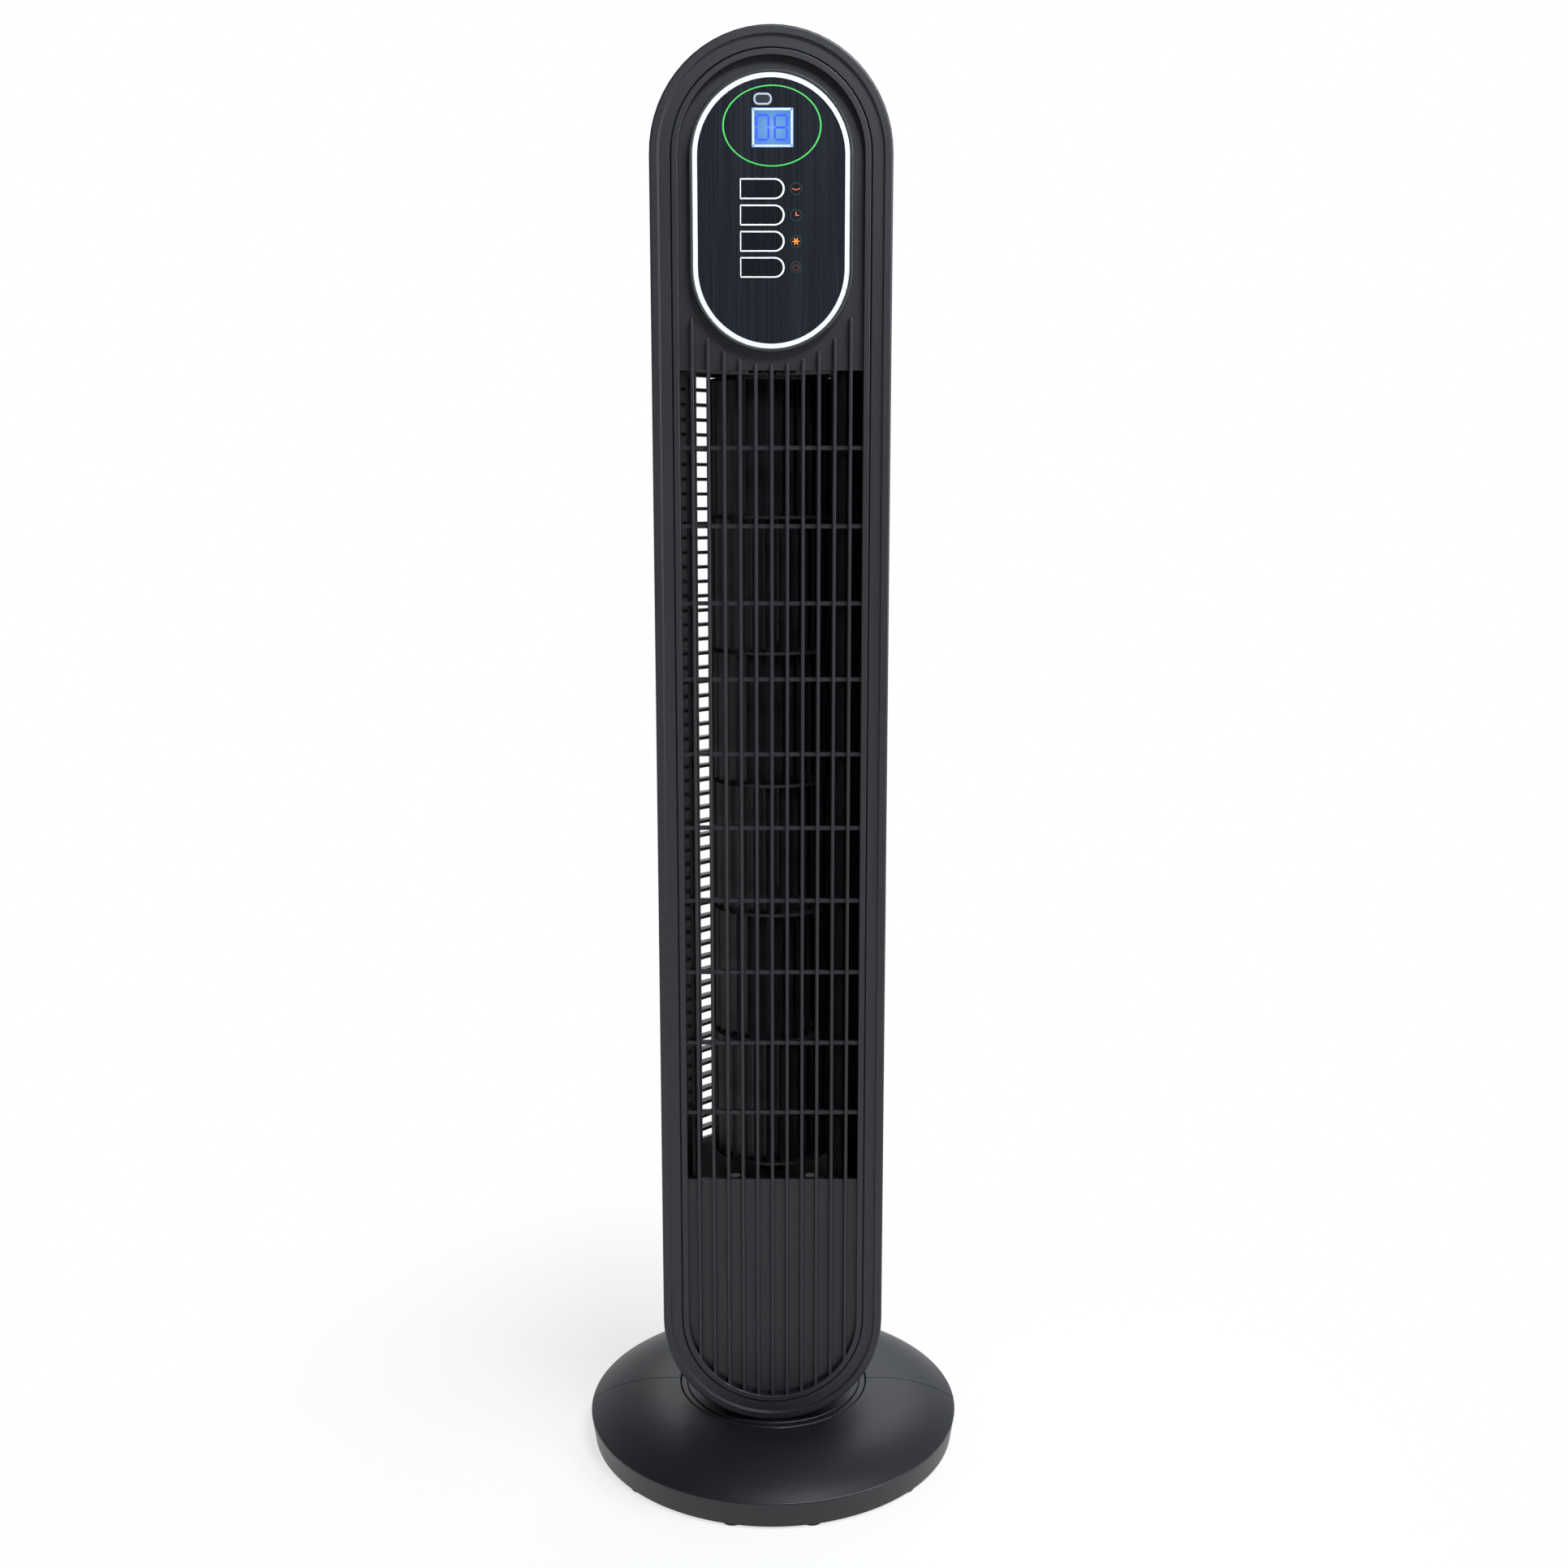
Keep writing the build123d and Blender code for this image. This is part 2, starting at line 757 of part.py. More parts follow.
with BuildPart() as flange_screws:
    with BuildSketch(level(foot_top + foot_wall)):
        with turned(flange_screw_angles, flange_screw_circle):
            Circle(screw_head_radius)
    extrude(amount=screw_head)
    with BuildSketch(level(foot_top + foot_wall)):
        with turned(flange_screw_angles, flange_screw_circle):
            Circle(screw_radius)
    extrude(amount=-foot_wall - flange_screw_grip)
finish(flange_screws, "flange_screws")

# ================================================================ swing motor
swing_motor_centre = pinion_place - swing_motor_offset
pinion_shaft_top = platform_top + pinion_shaft_rise

with BuildPart() as swing_motor:
    with BuildSketch(level(platform_top)):
        with Locations((0, swing_motor_centre)):
            Circle(swing_motor_radius)
    extrude(amount=swing_motor_height)
    fillet(swing_motor.edges().group_by(Axis.Z)[-1], swing_motor_round)
    with BuildSketch(level(platform_top)):
        with Locations((0, swing_motor_centre)):
            SlotCenterToCenter(2 * swing_motor_ear, 2 * post_radius)
    extrude(amount=swing_motor_plate)
    with BuildSketch(level(platform_top)):
        with Locations((0, pinion_place)):
            Circle(pinion_shaft_radius + running_fit)
    extrude(amount=pinion_shaft_top + slide_gap - platform_top, mode=Mode.SUBTRACT)
    with BuildSketch(level(platform_top)):
        with Locations((-swing_motor_ear, swing_motor_centre), (swing_motor_ear, swing_motor_centre)):
            Circle(screw_radius + loose_fit)
    extrude(amount=swing_motor_plate, mode=Mode.SUBTRACT)
finish(swing_motor, "swing_motor")

with BuildPart() as swing_motor_screws:
    with BuildSketch(level(platform_top + swing_motor_plate)):
        with Locations((-swing_motor_ear, swing_motor_centre), (swing_motor_ear, swing_motor_centre)):
            Circle(screw_head_radius)
    extrude(amount=screw_head)
    with BuildSketch(level(platform_top + swing_motor_plate)):
        with Locations((-swing_motor_ear, swing_motor_centre), (swing_motor_ear, swing_motor_centre)):
            Circle(screw_radius)
    extrude(amount=-swing_motor_plate - platform_thickness)
finish(swing_motor_screws, "swing_motor_screws")

with BuildPart() as pinion_shaft:
    with BuildSketch(pinion_plane):
        Circle(pinion_shaft_radius)
    extrude(amount=pinion_shaft_top - gear_bottom - slide_gap)
finish(pinion_shaft, "pinion_shaft")


# ================================================================ column shells
def column_form(radius, reach):
    """Outline of the column: round back about the swing axis, straight sides to the front."""
    with BuildPart() as form:
        with BuildSketch(facing(0)):
            stadium(radius)
        extrude(amount=reach)
        with BuildSketch(facing(0)):
            stadium(radius)
            with Locations((0, (lower_centre + upper_centre) / 2)):
                Rectangle(
                    radius,
                    straight_height + 2 * radius,
                    align=(Align.MIN, Align.CENTER),
                    mode=Mode.INTERSECT,
                )
        revolve(axis=Axis.Z, revolution_arc=180)
    return form.part


def boss_places():
    """Places of the screws that hold the front frame to the rear housing."""
    return Locations(*[(hand * case_boss_side, z) for z in case_screw_heights for hand in (-1, 1)])


with BuildSketch() as frame_section:
    with BuildLine():
        Polyline(
            (rim_inner, front_reach),
            (frame_radius, front_reach),
            (frame_radius, frame_back),
            (frame_radius - frame_wall, frame_back),
            (frame_radius - frame_wall, rim_back),
            (channel_inner, rim_back),
            (channel_inner, channel_front),
            (rim_inner, channel_front),
            close=True,
        )
    make_face()
    front_corners = frame_section.vertices().group_by(Axis.Y)[-1].sort_by(Axis.X)
    fillet(front_corners[-1], rim_round)
    front_corners = frame_section.vertices().group_by(Axis.Y)[-1].sort_by(Axis.X)
    fillet(front_corners[0], rim_inner_round)
    step_corners = frame_section.vertices().filter_by(lambda v: abs(v.Y - channel_front) < loose_fit)
    fillet(step_corners, rim_inner_round)

with BuildPart() as front_frame:
    add(track(frame_section.sketch))
    with BuildSketch(facing(frame_back)):
        with boss_places():
            Circle(case_boss_radius)
    extrude(amount=floor_back - slide_gap - frame_back)
    with BuildSketch(facing(frame_back)):
        with boss_places():
            Circle(screw_radius + running_fit)
    extrude(amount=floor_back - slide_gap - frame_back - boss_floor, mode=Mode.SUBTRACT)
finish(front_frame, "front_frame")

lower_shelf = lower_deck - bulkhead_thickness - shelf_depth
upper_shelf = upper_deck + bulkhead_thickness

with BuildPart() as housing_inside:
    with BuildSketch(facing(-body_radius)):
        with boss_places():
            Circle(case_boss_radius)
    extrude(amount=body_radius + frame_back)
    with BuildSketch(level(frame_bottom)):
        Circle(foot_ring + slide_gap + body_wall)
    extrude(amount=foot_top - frame_bottom)
    with BuildSketch(level(frame_bottom)):
        with turned(flange_screw_angles, flange_screw_circle):
            Circle(screw_head_radius)
    extrude(amount=foot_top - frame_bottom)
    for shelf in (lower_shelf, upper_shelf):
        with BuildSketch(level(shelf)):
            Circle(body_radius - cut_margin)
            Circle(body_inner - shelf_depth, mode=Mode.SUBTRACT)
            Rectangle(2 * body_radius, body_radius, align=(Align.CENTER, Align.MIN), mode=Mode.INTERSECT)
        extrude(amount=shelf_depth)
    add(column_form(body_radius, frame_back), mode=Mode.INTERSECT)

with BuildPart() as rear_housing:
    add(column_form(body_radius, frame_back))
    add(column_form(body_inner, frame_back + cut_margin), mode=Mode.SUBTRACT)
    add(housing_inside.part)
    with BuildSketch(facing(-body_radius - cut_margin)):
        with boss_places():
            Circle(screw_head_radius + loose_fit)
    extrude(amount=body_radius + cut_margin + frame_back - case_screw_seat, mode=Mode.SUBTRACT)
    with BuildSketch(facing(0)):
        with boss_places():
            Circle(screw_radius + loose_fit)
    extrude(amount=frame_back, mode=Mode.SUBTRACT)
    with BuildSketch(level(frame_bottom)):
        Circle(foot_ring + slide_gap)
    extrude(amount=foot_top - frame_bottom + cut_margin, mode=Mode.SUBTRACT)
    with BuildSketch(level(foot_top)):
        with turned(flange_screw_angles, flange_screw_circle):
            Circle(screw_radius + running_fit)
    extrude(amount=-flange_screw_bore, mode=Mode.SUBTRACT)
    with BuildSketch(facing(-body_radius - cut_margin)):
        with Locations((0, (rear_window_bottom + rear_window_top) / 2)):
            RectangleRounded(2 * rear_window_half, rear_window_top - rear_window_bottom, rear_border)
        with Locations((0, upper_centre - handle_drop)):
            RectangleRounded(handle_width, handle_height, rear_border)
    extrude(amount=body_radius, mode=Mode.SUBTRACT)
finish(rear_housing, "rear_housing")

with BuildPart() as case_screws:
    with BuildSketch(facing(frame_back - case_screw_seat)):
        with boss_places():
            Circle(screw_head_radius)
    extrude(amount=-screw_head)
    with BuildSketch(facing(frame_back - case_screw_seat)):
        with boss_places():
            Circle(screw_radius)
    extrude(amount=case_screw_seat + case_screw_grip)
finish(case_screws, "case_screws")

# ================================================================ rear grille and carry handle
grille_half = rear_window_half - loose_fit
slat_radius = body_radius - slat_recess


def back_arc(outer, inner, half_width):
    """Arc of the column's round back between two radii, cut square at a half width."""
    Circle(outer)
    Circle(inner, mode=Mode.SUBTRACT)
    Rectangle(2 * half_width, outer, align=(Align.CENTER, Align.MIN), mode=Mode.INTERSECT)


with BuildPart() as slat:
    with BuildSketch(level(rear_clear_bottom + slat_pitch - slat_thickness)):
        back_arc(slat_radius, slat_radius - slat_depth, grille_half - rear_border / 2)
    extrude(amount=slat_thickness)

with BuildPart() as rear_grille:
    with BuildSketch(level(rear_window_bottom)):
        back_arc(body_radius, body_inner, rear_window_half + loose_fit)
        Rectangle(2 * (grille_half - rear_border), 3 * body_radius, mode=Mode.SUBTRACT)
    extrude(amount=rear_window_top - rear_window_bottom)
    for height in (rear_window_bottom, rear_window_top - rear_border):
        with BuildSketch(level(height)):
            back_arc(body_radius, body_inner, grille_half - rear_border)
        extrude(amount=rear_border)
    with BuildSketch(facing(-body_radius - cut_margin)):
        with Locations((0, (rear_window_bottom + rear_window_top) / 2)):
            RectangleRounded(
                2 * grille_half,
                rear_window_top - rear_window_bottom - 2 * loose_fit,
                rear_border - loose_fit,
            )
    extrude(amount=body_radius, mode=Mode.INTERSECT)
    with BuildSketch(level(rear_clear_bottom)):
        with Locations((0, slat_radius)):
            Rectangle(stay_width, slat_depth + slat_recess, align=(Align.CENTER, Align.MAX))
    extrude(amount=rear_clear_top - rear_clear_bottom)
    with Locations(*[(0, 0, step * slat_pitch) for step in range(slat_count)]):
        add(slat.part)
finish(rear_grille, "rear_grille")

cup_half = handle_width / 2 - loose_fit
cup_height = handle_height - 2 * loose_fit
with BuildPart() as carry_handle:
    with BuildSketch(facing(-body_radius - cut_margin)):
        with Locations((0, upper_centre - handle_drop)):
            RectangleRounded(2 * cup_half, cup_height, rear_border - loose_fit)
    extrude(amount=cut_margin + body_wall + handle_depth + handle_wall)
    with BuildSketch(level(upper_centre - handle_drop - handle_height)):
        Circle(body_radius)
    extrude(amount=2 * handle_height, mode=Mode.INTERSECT)
    with BuildSketch(facing(-body_radius - cut_margin)):
        with Locations((0, upper_centre - handle_drop)):
            RectangleRounded(
                2 * (cup_half - handle_wall), cup_height - 2 * handle_wall, rear_border - handle_wall
            )
    extrude(amount=cut_margin + body_wall + handle_depth, mode=Mode.SUBTRACT)
finish(carry_handle, "carry_handle")

# ================================================================ front grille
with BuildSketch() as grille_section:
    with BuildLine():
        Polyline(
            (floor_edge, floor_back),
            (flange_radius, floor_back),
            (flange_radius, rim_back - slide_gap),
            (ridge_outer, rim_back - slide_gap),
            (ridge_outer, ridge_front),
            (floor_edge, ridge_front),
            close=True,
        )
    make_face()
    fillet(grille_section.vertices().group_by(Axis.Y)[-1], rib_round)


def rib_foot(side):
    """Height where a rib runs into the lower ridge."""
    return lower_centre - sqrt((floor_edge + ridge_width / 2) ** 2 - side**2)


def rib_head(side):
    """Height where a rib ends under the control panel."""
    return panel_low - sqrt(floor_edge**2 - side**2)


with BuildPart() as ribs:
    for index in range(rib_count):
        side = (index - (rib_count - 1) / 2) * rib_pitch
        length = rib_head(side) - rib_foot(side)
        with BuildSketch(facing(floor_front)):
            with Locations((side, (rib_head(side) + rib_foot(side)) / 2)):
                SlotOverall(length, rib_width, rotation=90)
        extrude(amount=ridge_front - rib_recess - floor_front, taper=rib_draft)
    fillet(ribs.faces().filter_by(Plane.XZ).group_by(Axis.Y)[0].edges(), rib_round)

with BuildPart() as front_grille:
    add(track(grille_section.sketch))
    with BuildSketch(facing(floor_back)):
        stadium(floor_edge + ridge_width / 2)
        stadium(tray_opening, panel_low, panel_high, mode=Mode.SUBTRACT)
        for row in range(cell_rows):
            with Locations((0, window_bottom + (row + 0.5) * cell_pitch)):
                Rectangle(2 * floor_edge, cell_pitch - bar_height, mode=Mode.SUBTRACT)
    extrude(amount=floor_thickness)
    add(ribs.part)
finish(front_grille, "front_grille")

# ================================================================ air path
deck_half = body_inner - slide_gap
deck_front = floor_back - slide_gap


def deck_outline():
    """Outline of a plate that fills the column behind the front grille."""
    with BuildSketch() as outline:
        Circle(deck_half)
        Rectangle(2 * deck_half, deck_half, align=(Align.CENTER, Align.MIN), mode=Mode.INTERSECT)
        Rectangle(2 * deck_half, deck_front, align=(Align.CENTER, Align.MAX))
    return outline.sketch


guide_side = impeller_radius + guide_gap
guide_front = guide_start - deck_front
guide_left_points = (
    (-guide_side - guide_left_flare, guide_front),
    (-guide_side, -guide_left_bend),
    (-guide_side - guide_left_end[0], guide_left_end[1]),
)
nose_x = (impeller_radius + guide_nose_gap) * cos(radians(guide_nose_angle))
nose_y = (impeller_radius + guide_nose_gap) * sin(radians(guide_nose_angle))
guide_right_front = (
    (nose_x + guide_nose_mouth, guide_front),
    (nose_x + guide_nose_bend[0], nose_y - guide_nose_bend[1]),
    (nose_x, nose_y),
)
guide_right_back = (
    (nose_x, nose_y),
    (nose_x + guide_scroll_bend[0], nose_y + guide_scroll_bend[1]),
    (body_inner - guide_scroll_end[0], nose_y + guide_scroll_end[1]),
)

with BuildPart() as lower_bulkhead:
    with BuildSketch(level(lower_deck - bulkhead_thickness)):
        add(deck_outline())
        Circle(hub_radius + hub_clearance, mode=Mode.SUBTRACT)
        with PolarLocations(mount_circle, 4, start_angle=45):
            Circle(screw_radius + loose_fit, mode=Mode.SUBTRACT)
    extrude(amount=bulkhead_thickness)
finish(lower_bulkhead, "lower_bulkhead")

bearing_middle = upper_deck + bulkhead_thickness / 2
with BuildPart() as upper_bulkhead:
    with BuildSketch(level(upper_deck)):
        add(deck_outline())
    extrude(amount=bulkhead_thickness)
    with BuildSketch(level(bearing_middle)):
        Circle(bearing_rubber_radius + body_wall)
    extrude(amount=bearing_height / 2, both=True)
    with BuildSketch(level(bearing_middle)):
        Circle(bearing_rubber_radius)
    extrude(amount=bearing_height / 2, both=True, mode=Mode.SUBTRACT)
finish(upper_bulkhead, "upper_bulkhead")

with BuildPart() as bearing_rubber:
    with BuildSketch(level(bearing_middle)):
        Circle(bearing_rubber_radius)
        Circle(top_bearing_radius, mode=Mode.SUBTRACT)
    extrude(amount=bearing_height / 2, both=True)
finish(bearing_rubber, "bearing_rubber")

with BuildPart() as top_bearing:
    with BuildSketch(level(bearing_middle)):
        Circle(top_bearing_radius)
        Circle(stub_shaft_radius + running_fit, mode=Mode.SUBTRACT)
    extrude(amount=bearing_height / 2, both=True)
finish(top_bearing, "top_bearing")

guide_height = upper_deck - lower_deck - 2 * loose_fit
with BuildPart() as guide_left:
    with BuildSketch(level(lower_deck + loose_fit)):
        with BuildLine():
            ThreePointArc(*guide_left_points)
        trace(line_width=guide_thickness)
    extrude(amount=guide_height)
finish(guide_left, "guide_left")

with BuildPart() as guide_right:
    with BuildSketch(level(lower_deck + loose_fit)):
        with BuildLine():
            ThreePointArc(*guide_right_front)
            ThreePointArc(*guide_right_back)
        trace(line_width=guide_thickness)
    extrude(amount=guide_height)
finish(guide_right, "guide_right")

# ================================================================ rotor
with BuildSketch() as blade:
    with BuildLine():
        tip = (impeller_radius - blade_inset, 0)
        root = (
            tip[0] - blade_chord * cos(radians(blade_lean)),
            blade_chord * sin(radians(blade_lean)),
        )
        SagittaArc(tip, root, blade_camber)
        SagittaArc(root, tip, -blade_camber - blade_thickness)
    make_face()

with BuildPart() as impeller:
    for step in range(segment_count + 1):
        with BuildSketch(level(impeller_bottom + step * segment_pitch)):
            Circle(impeller_radius)
            if 0 < step < segment_count:
                Circle(partition_bore, mode=Mode.SUBTRACT)
        extrude(amount=partition_thickness)
    for step in range(segment_count):
        with BuildSketch(level(impeller_bottom + step * segment_pitch + partition_thickness)):
            with PolarLocations(0, blade_count, start_angle=step * 180 / blade_count):
                add(blade.sketch)
        extrude(amount=segment_pitch - partition_thickness)
    with BuildSketch(level(impeller_bottom - hub_drop)):
        Circle(hub_radius)
    extrude(amount=hub_drop + hub_height)
    with BuildSketch(level(impeller_top - hub_height / 2)):
        Circle(hub_radius)
    extrude(amount=hub_height / 2 + hub_drop / 2)
    with BuildSketch(level(impeller_bottom - hub_drop)):
        Circle(motor_shaft_radius + running_fit / 2)
    extrude(amount=hub_drop + hub_height - hub_cap, mode=Mode.SUBTRACT)
    with BuildSketch(level(impeller_top - hub_height / 2)):
        Circle(stub_shaft_radius + running_fit / 2)
    extrude(amount=hub_height, mode=Mode.SUBTRACT)
finish(impeller, "impeller")

with BuildPart() as stub_shaft:
    with BuildSketch(level(impeller_top - hub_height / 2)):
        Circle(stub_shaft_radius)
    extrude(amount=bearing_middle + (bearing_height + hub_height) / 2 + stub_shaft_overrun - impeller_top)
    chamfer(stub_shaft.edges().group_by(Axis.Z)[-1], shaft_chamfer)
finish(stub_shaft, "stub_shaft")

# ================================================================ fan motor
motor_top = lower_deck - bulkhead_thickness
shell_top = motor_top - motor_standoff
stator_top = shell_top - shell_height
stator_bottom = stator_top - stator_height
shell_radius = motor_radius - shell_inset
nose_radius = bearing_radius + shell_wall
nose_height = bearing_height - shell_wall
winding_inner = rotor_radius + winding_gap
winding_outer = shell_radius - shell_wall - winding_air

with BuildPart() as stator:
    with BuildSketch(level(stator_bottom)):
        Circle(motor_radius)
        Circle(rotor_radius + air_gap, mode=Mode.SUBTRACT)
        with PolarLocations(motor_radius, 4, start_angle=0):
            Circle(stator_notch, mode=Mode.SUBTRACT)
    extrude(amount=stator_height)
finish(stator, "stator")

with BuildPart() as windings:
    for height in (stator_top, stator_bottom - winding_height):
        with BuildSketch(level(height)):
            Circle(winding_outer)
            Circle(winding_inner, mode=Mode.SUBTRACT)
        extrude(amount=winding_height)
finish(windings, "windings")


def motor_shell(seat, way):
    """Cup with a bearing nose on its end; it opens towards the stator at its seat height."""
    with BuildPart() as shell:
        with BuildSketch(level(seat)):
            Circle(shell_radius)
        extrude(amount=way * shell_height)
        with BuildSketch(level(seat)):
            Circle(shell_radius - shell_wall)
        extrude(amount=way * (shell_height - shell_wall), mode=Mode.SUBTRACT)
        with BuildSketch(level(seat + way * (shell_height - shell_wall))):
            Circle(nose_radius)
        extrude(amount=way * (nose_height - shell_wall))
        with BuildSketch(level(seat + way * (shell_height - bearing_height + nose_height - 2 * shell_wall))):
            Circle(bearing_radius)
        extrude(amount=way * bearing_height, mode=Mode.SUBTRACT)
    return shell


with BuildPart() as motor_top_shell:
    add(motor_shell(stator_top, 1).part)
    with BuildSketch(level(shell_top)):
        with PolarLocations(mount_circle, 4, start_angle=45):
            Circle(post_radius)
    extrude(amount=motor_top - shell_top)
    with BuildSketch(level(motor_top)):
        with PolarLocations(mount_circle, 4, start_angle=45):
            Circle(screw_radius + running_fit)
    extrude(amount=shell_top - motor_top - shell_wall, mode=Mode.SUBTRACT)
finish(motor_top_shell, "motor_top_shell")

with BuildPart() as motor_bottom_shell:
    add(motor_shell(stator_bottom, -1).part)
finish(motor_bottom_shell, "motor_bottom_shell")

bearing_offset = shell_height - bearing_height + nose_height - 2 * shell_wall
with BuildPart() as motor_bearings:
    for seat, way in ((stator_top, 1), (stator_bottom, -1)):
        with BuildSketch(level(seat + way * bearing_offset)):
            Circle(bearing_radius)
            Circle(motor_shaft_radius + running_fit, mode=Mode.SUBTRACT)
        extrude(amount=way * bearing_height)
finish(motor_bearings, "motor_bearings")

with BuildPart() as motor_rotor:
    with BuildSketch(level(stator_bottom)):
        Circle(rotor_radius)
        Circle(motor_shaft_radius + running_fit / 2, mode=Mode.SUBTRACT)
    extrude(amount=stator_height)
finish(motor_rotor, "motor_rotor")

shaft_bottom = stator_bottom - bearing_offset - bearing_height - motor_shaft_overrun
with BuildPart() as motor_shaft:
    with BuildSketch(level(shaft_bottom)):
        Circle(motor_shaft_radius)
    extrude(amount=impeller_bottom + hub_height - motor_shaft_stop - shaft_bottom)
finish(motor_shaft, "motor_shaft")

with BuildPart() as motor_screws:
    with BuildSketch(level(lower_deck)):
        with PolarLocations(mount_circle, 4, start_angle=45):
            Circle(screw_head_radius)
    extrude(amount=screw_head)
    with BuildSketch(level(lower_deck)):
        with PolarLocations(mount_circle, 4, start_angle=45):
            Circle(screw_radius)
    extrude(amount=-bulkhead_thickness - motor_screw_grip)
finish(motor_screws, "motor_screws")


# ================================================================ control panel
def button_shape(width, height):
    """Outline of a key: square at the left, round at the right."""
    with BuildSketch() as key:
        Rectangle(width - height / 2, height, align=(Align.MIN, Align.CENTER))
        with Locations((width - height / 2, 0)):
            Circle(height / 2)
        fillet(key.vertices().sort_by(Axis.X)[0:2], edge_round)
    moved = Pos(button_side - width / 2, 0) * key.sketch
    return moved


def button_level(index):
    """Height of the centre of one key, counted from the top."""
    return button_top - index * button_pitch


def lamp_places():
    """Places of the four indicator lamps, one beside each key."""
    return Locations(*[(lamp_side, button_level(index)) for index in range(button_count)])


def board_screw_places():
    """Places of the four screws that hold the circuit board to the tray."""
    return Locations(
        *[(x * board_screw_side, panel_middle + z * board_screw_rise) for x in (-1, 1) for z in (-1, 1)]
    )


def key_openings(gap):
    """Openings for the four keys, wider than the caps by a gap all round; they are cut out."""
    for index in range(button_count):
        with Locations((0, button_level(index))):
            add(button_shape(button_width + 2 * gap, button_height + 2 * gap), mode=Mode.SUBTRACT)


with BuildSketch() as bezel_section:
    Rectangle(bezel_width, bezel_height, align=(Align.MIN, Align.MIN))
    fillet(bezel_section.vertices().sort_by(Axis.Y)[-2:], edge_round)
bezel_ring = Pos(bezel_radius - bezel_width, floor_front) * bezel_section.sketch

with BuildPart() as panel_tray:
    add(track(bezel_ring, panel_low, panel_high))
    with BuildSketch(facing(floor_front)):
        stadium(bezel_radius - bezel_width / 2, panel_low, panel_high)
        key_openings(slide_gap)
        with lamp_places():
            Circle(lamp_pipe_radius + loose_fit, mode=Mode.SUBTRACT)
        with Locations((display_side, display_level)):
            Rectangle(display_width - 2 * tray_lip, display_height - 2 * tray_lip, mode=Mode.SUBTRACT)
        with Locations((receiver_side, receiver_level)):
            SlotOverall(receiver_width - 2 * tray_lip, receiver_height - 2 * tray_lip, mode=Mode.SUBTRACT)
    extrude(amount=tray_thickness)
    with BuildSketch(facing(board_front)):
        with board_screw_places():
            Circle(screw_head_radius)
    extrude(amount=floor_front - board_front)
    hook_back = floor_back - slide_gap - hook_thickness
    hook_side = tray_opening - slide_gap - loose_fit
    for hand, inward in ((-1, Align.MIN), (1, Align.MAX)):
        with BuildSketch(facing(hook_back)):
            with Locations((hand * hook_side, panel_middle)):
                Rectangle(hook_stem, hook_length, align=(inward, Align.CENTER))
        extrude(amount=floor_front - hook_back)
        with BuildSketch(facing(hook_back)):
            with Locations((hand * (hook_side + hook_reach), panel_middle)):
                Rectangle(hook_stem + hook_reach, hook_length, align=(inward, Align.CENTER))
        extrude(amount=hook_thickness)
    with BuildSketch(facing(board_front)):
        with board_screw_places():
            Circle(screw_radius + running_fit)
    extrude(amount=floor_front - board_front - board_boss_floor, mode=Mode.SUBTRACT)
finish(panel_tray, "panel_tray")

with BuildPart() as panel_ring:
    with BuildSketch(facing(tray_front)):
        stadium(ring_outer, panel_low, panel_high)
        stadium(ring_outer - ring_width, panel_low, panel_high, mode=Mode.SUBTRACT)
    extrude(amount=ring_front - tray_front)
finish(panel_ring, "panel_ring")

with BuildPart() as panel_film:
    with BuildSketch(facing(tray_front)):
        stadium(film_radius, panel_low, panel_high)
        key_openings(slide_gap)
        with lamp_places():
            Circle(lamp_radius + running_fit, mode=Mode.SUBTRACT)
        with Locations((display_side, display_level)):
            Rectangle(display_width + 2 * running_fit, display_height + 2 * running_fit, mode=Mode.SUBTRACT)
        with Locations((receiver_side, receiver_level)):
            SlotOverall(
                receiver_width + 2 * running_fit, receiver_height + 2 * running_fit, mode=Mode.SUBTRACT
            )
    extrude(amount=film_front - tray_front)
finish(panel_film, "panel_film")

with BuildPart() as display_window:
    with BuildSketch(facing(tray_front)):
        with Locations((display_side, display_level)):
            Rectangle(display_width, display_height)
    extrude(amount=film_front - tray_front)
finish(display_window, "display_window")

with BuildPart() as receiver_window:
    with BuildSketch(facing(tray_front)):
        with Locations((receiver_side, receiver_level)):
            SlotOverall(receiver_width, receiver_height)
    extrude(amount=film_front - tray_front + window_proud)
finish(receiver_window, "receiver_window")

lamp_top = board_front + lamp_height
with BuildPart() as lamp_lenses:
    with BuildSketch(facing(tray_front)):
        with lamp_places():
            Circle(lamp_radius)
    extrude(amount=film_front - tray_front + window_proud)
    with BuildSketch(facing(lamp_top + slide_gap)):
        with lamp_places():
            Circle(lamp_pipe_radius)
    extrude(amount=tray_front - lamp_top - slide_gap)
finish(lamp_lenses, "lamp_lenses")

with BuildPart() as lamps:
    with BuildSketch(facing(board_front)):
        with lamp_places():
            Circle(lamp_body_radius)
    extrude(amount=lamp_top - board_front)
finish(lamps, "lamps")

with BuildPart() as display_module:
    with BuildSketch(facing(board_front)):
        with Locations((display_side, display_level)):
            Rectangle(display_width - 2 * module_inset, display_height - 2 * module_inset)
    extrude(amount=tray_front - loose_fit - board_front)
finish(display_module, "display_module")

with BuildPart() as receiver:
    with BuildSketch(facing(board_front)):
        with Locations((receiver_side, receiver_level)):
            SlotOverall(receiver_width - 2 * receiver_inset, receiver_height - 2 * receiver_inset)
    extrude(amount=tray_front - loose_fit - board_front)
finish(receiver, "receiver")

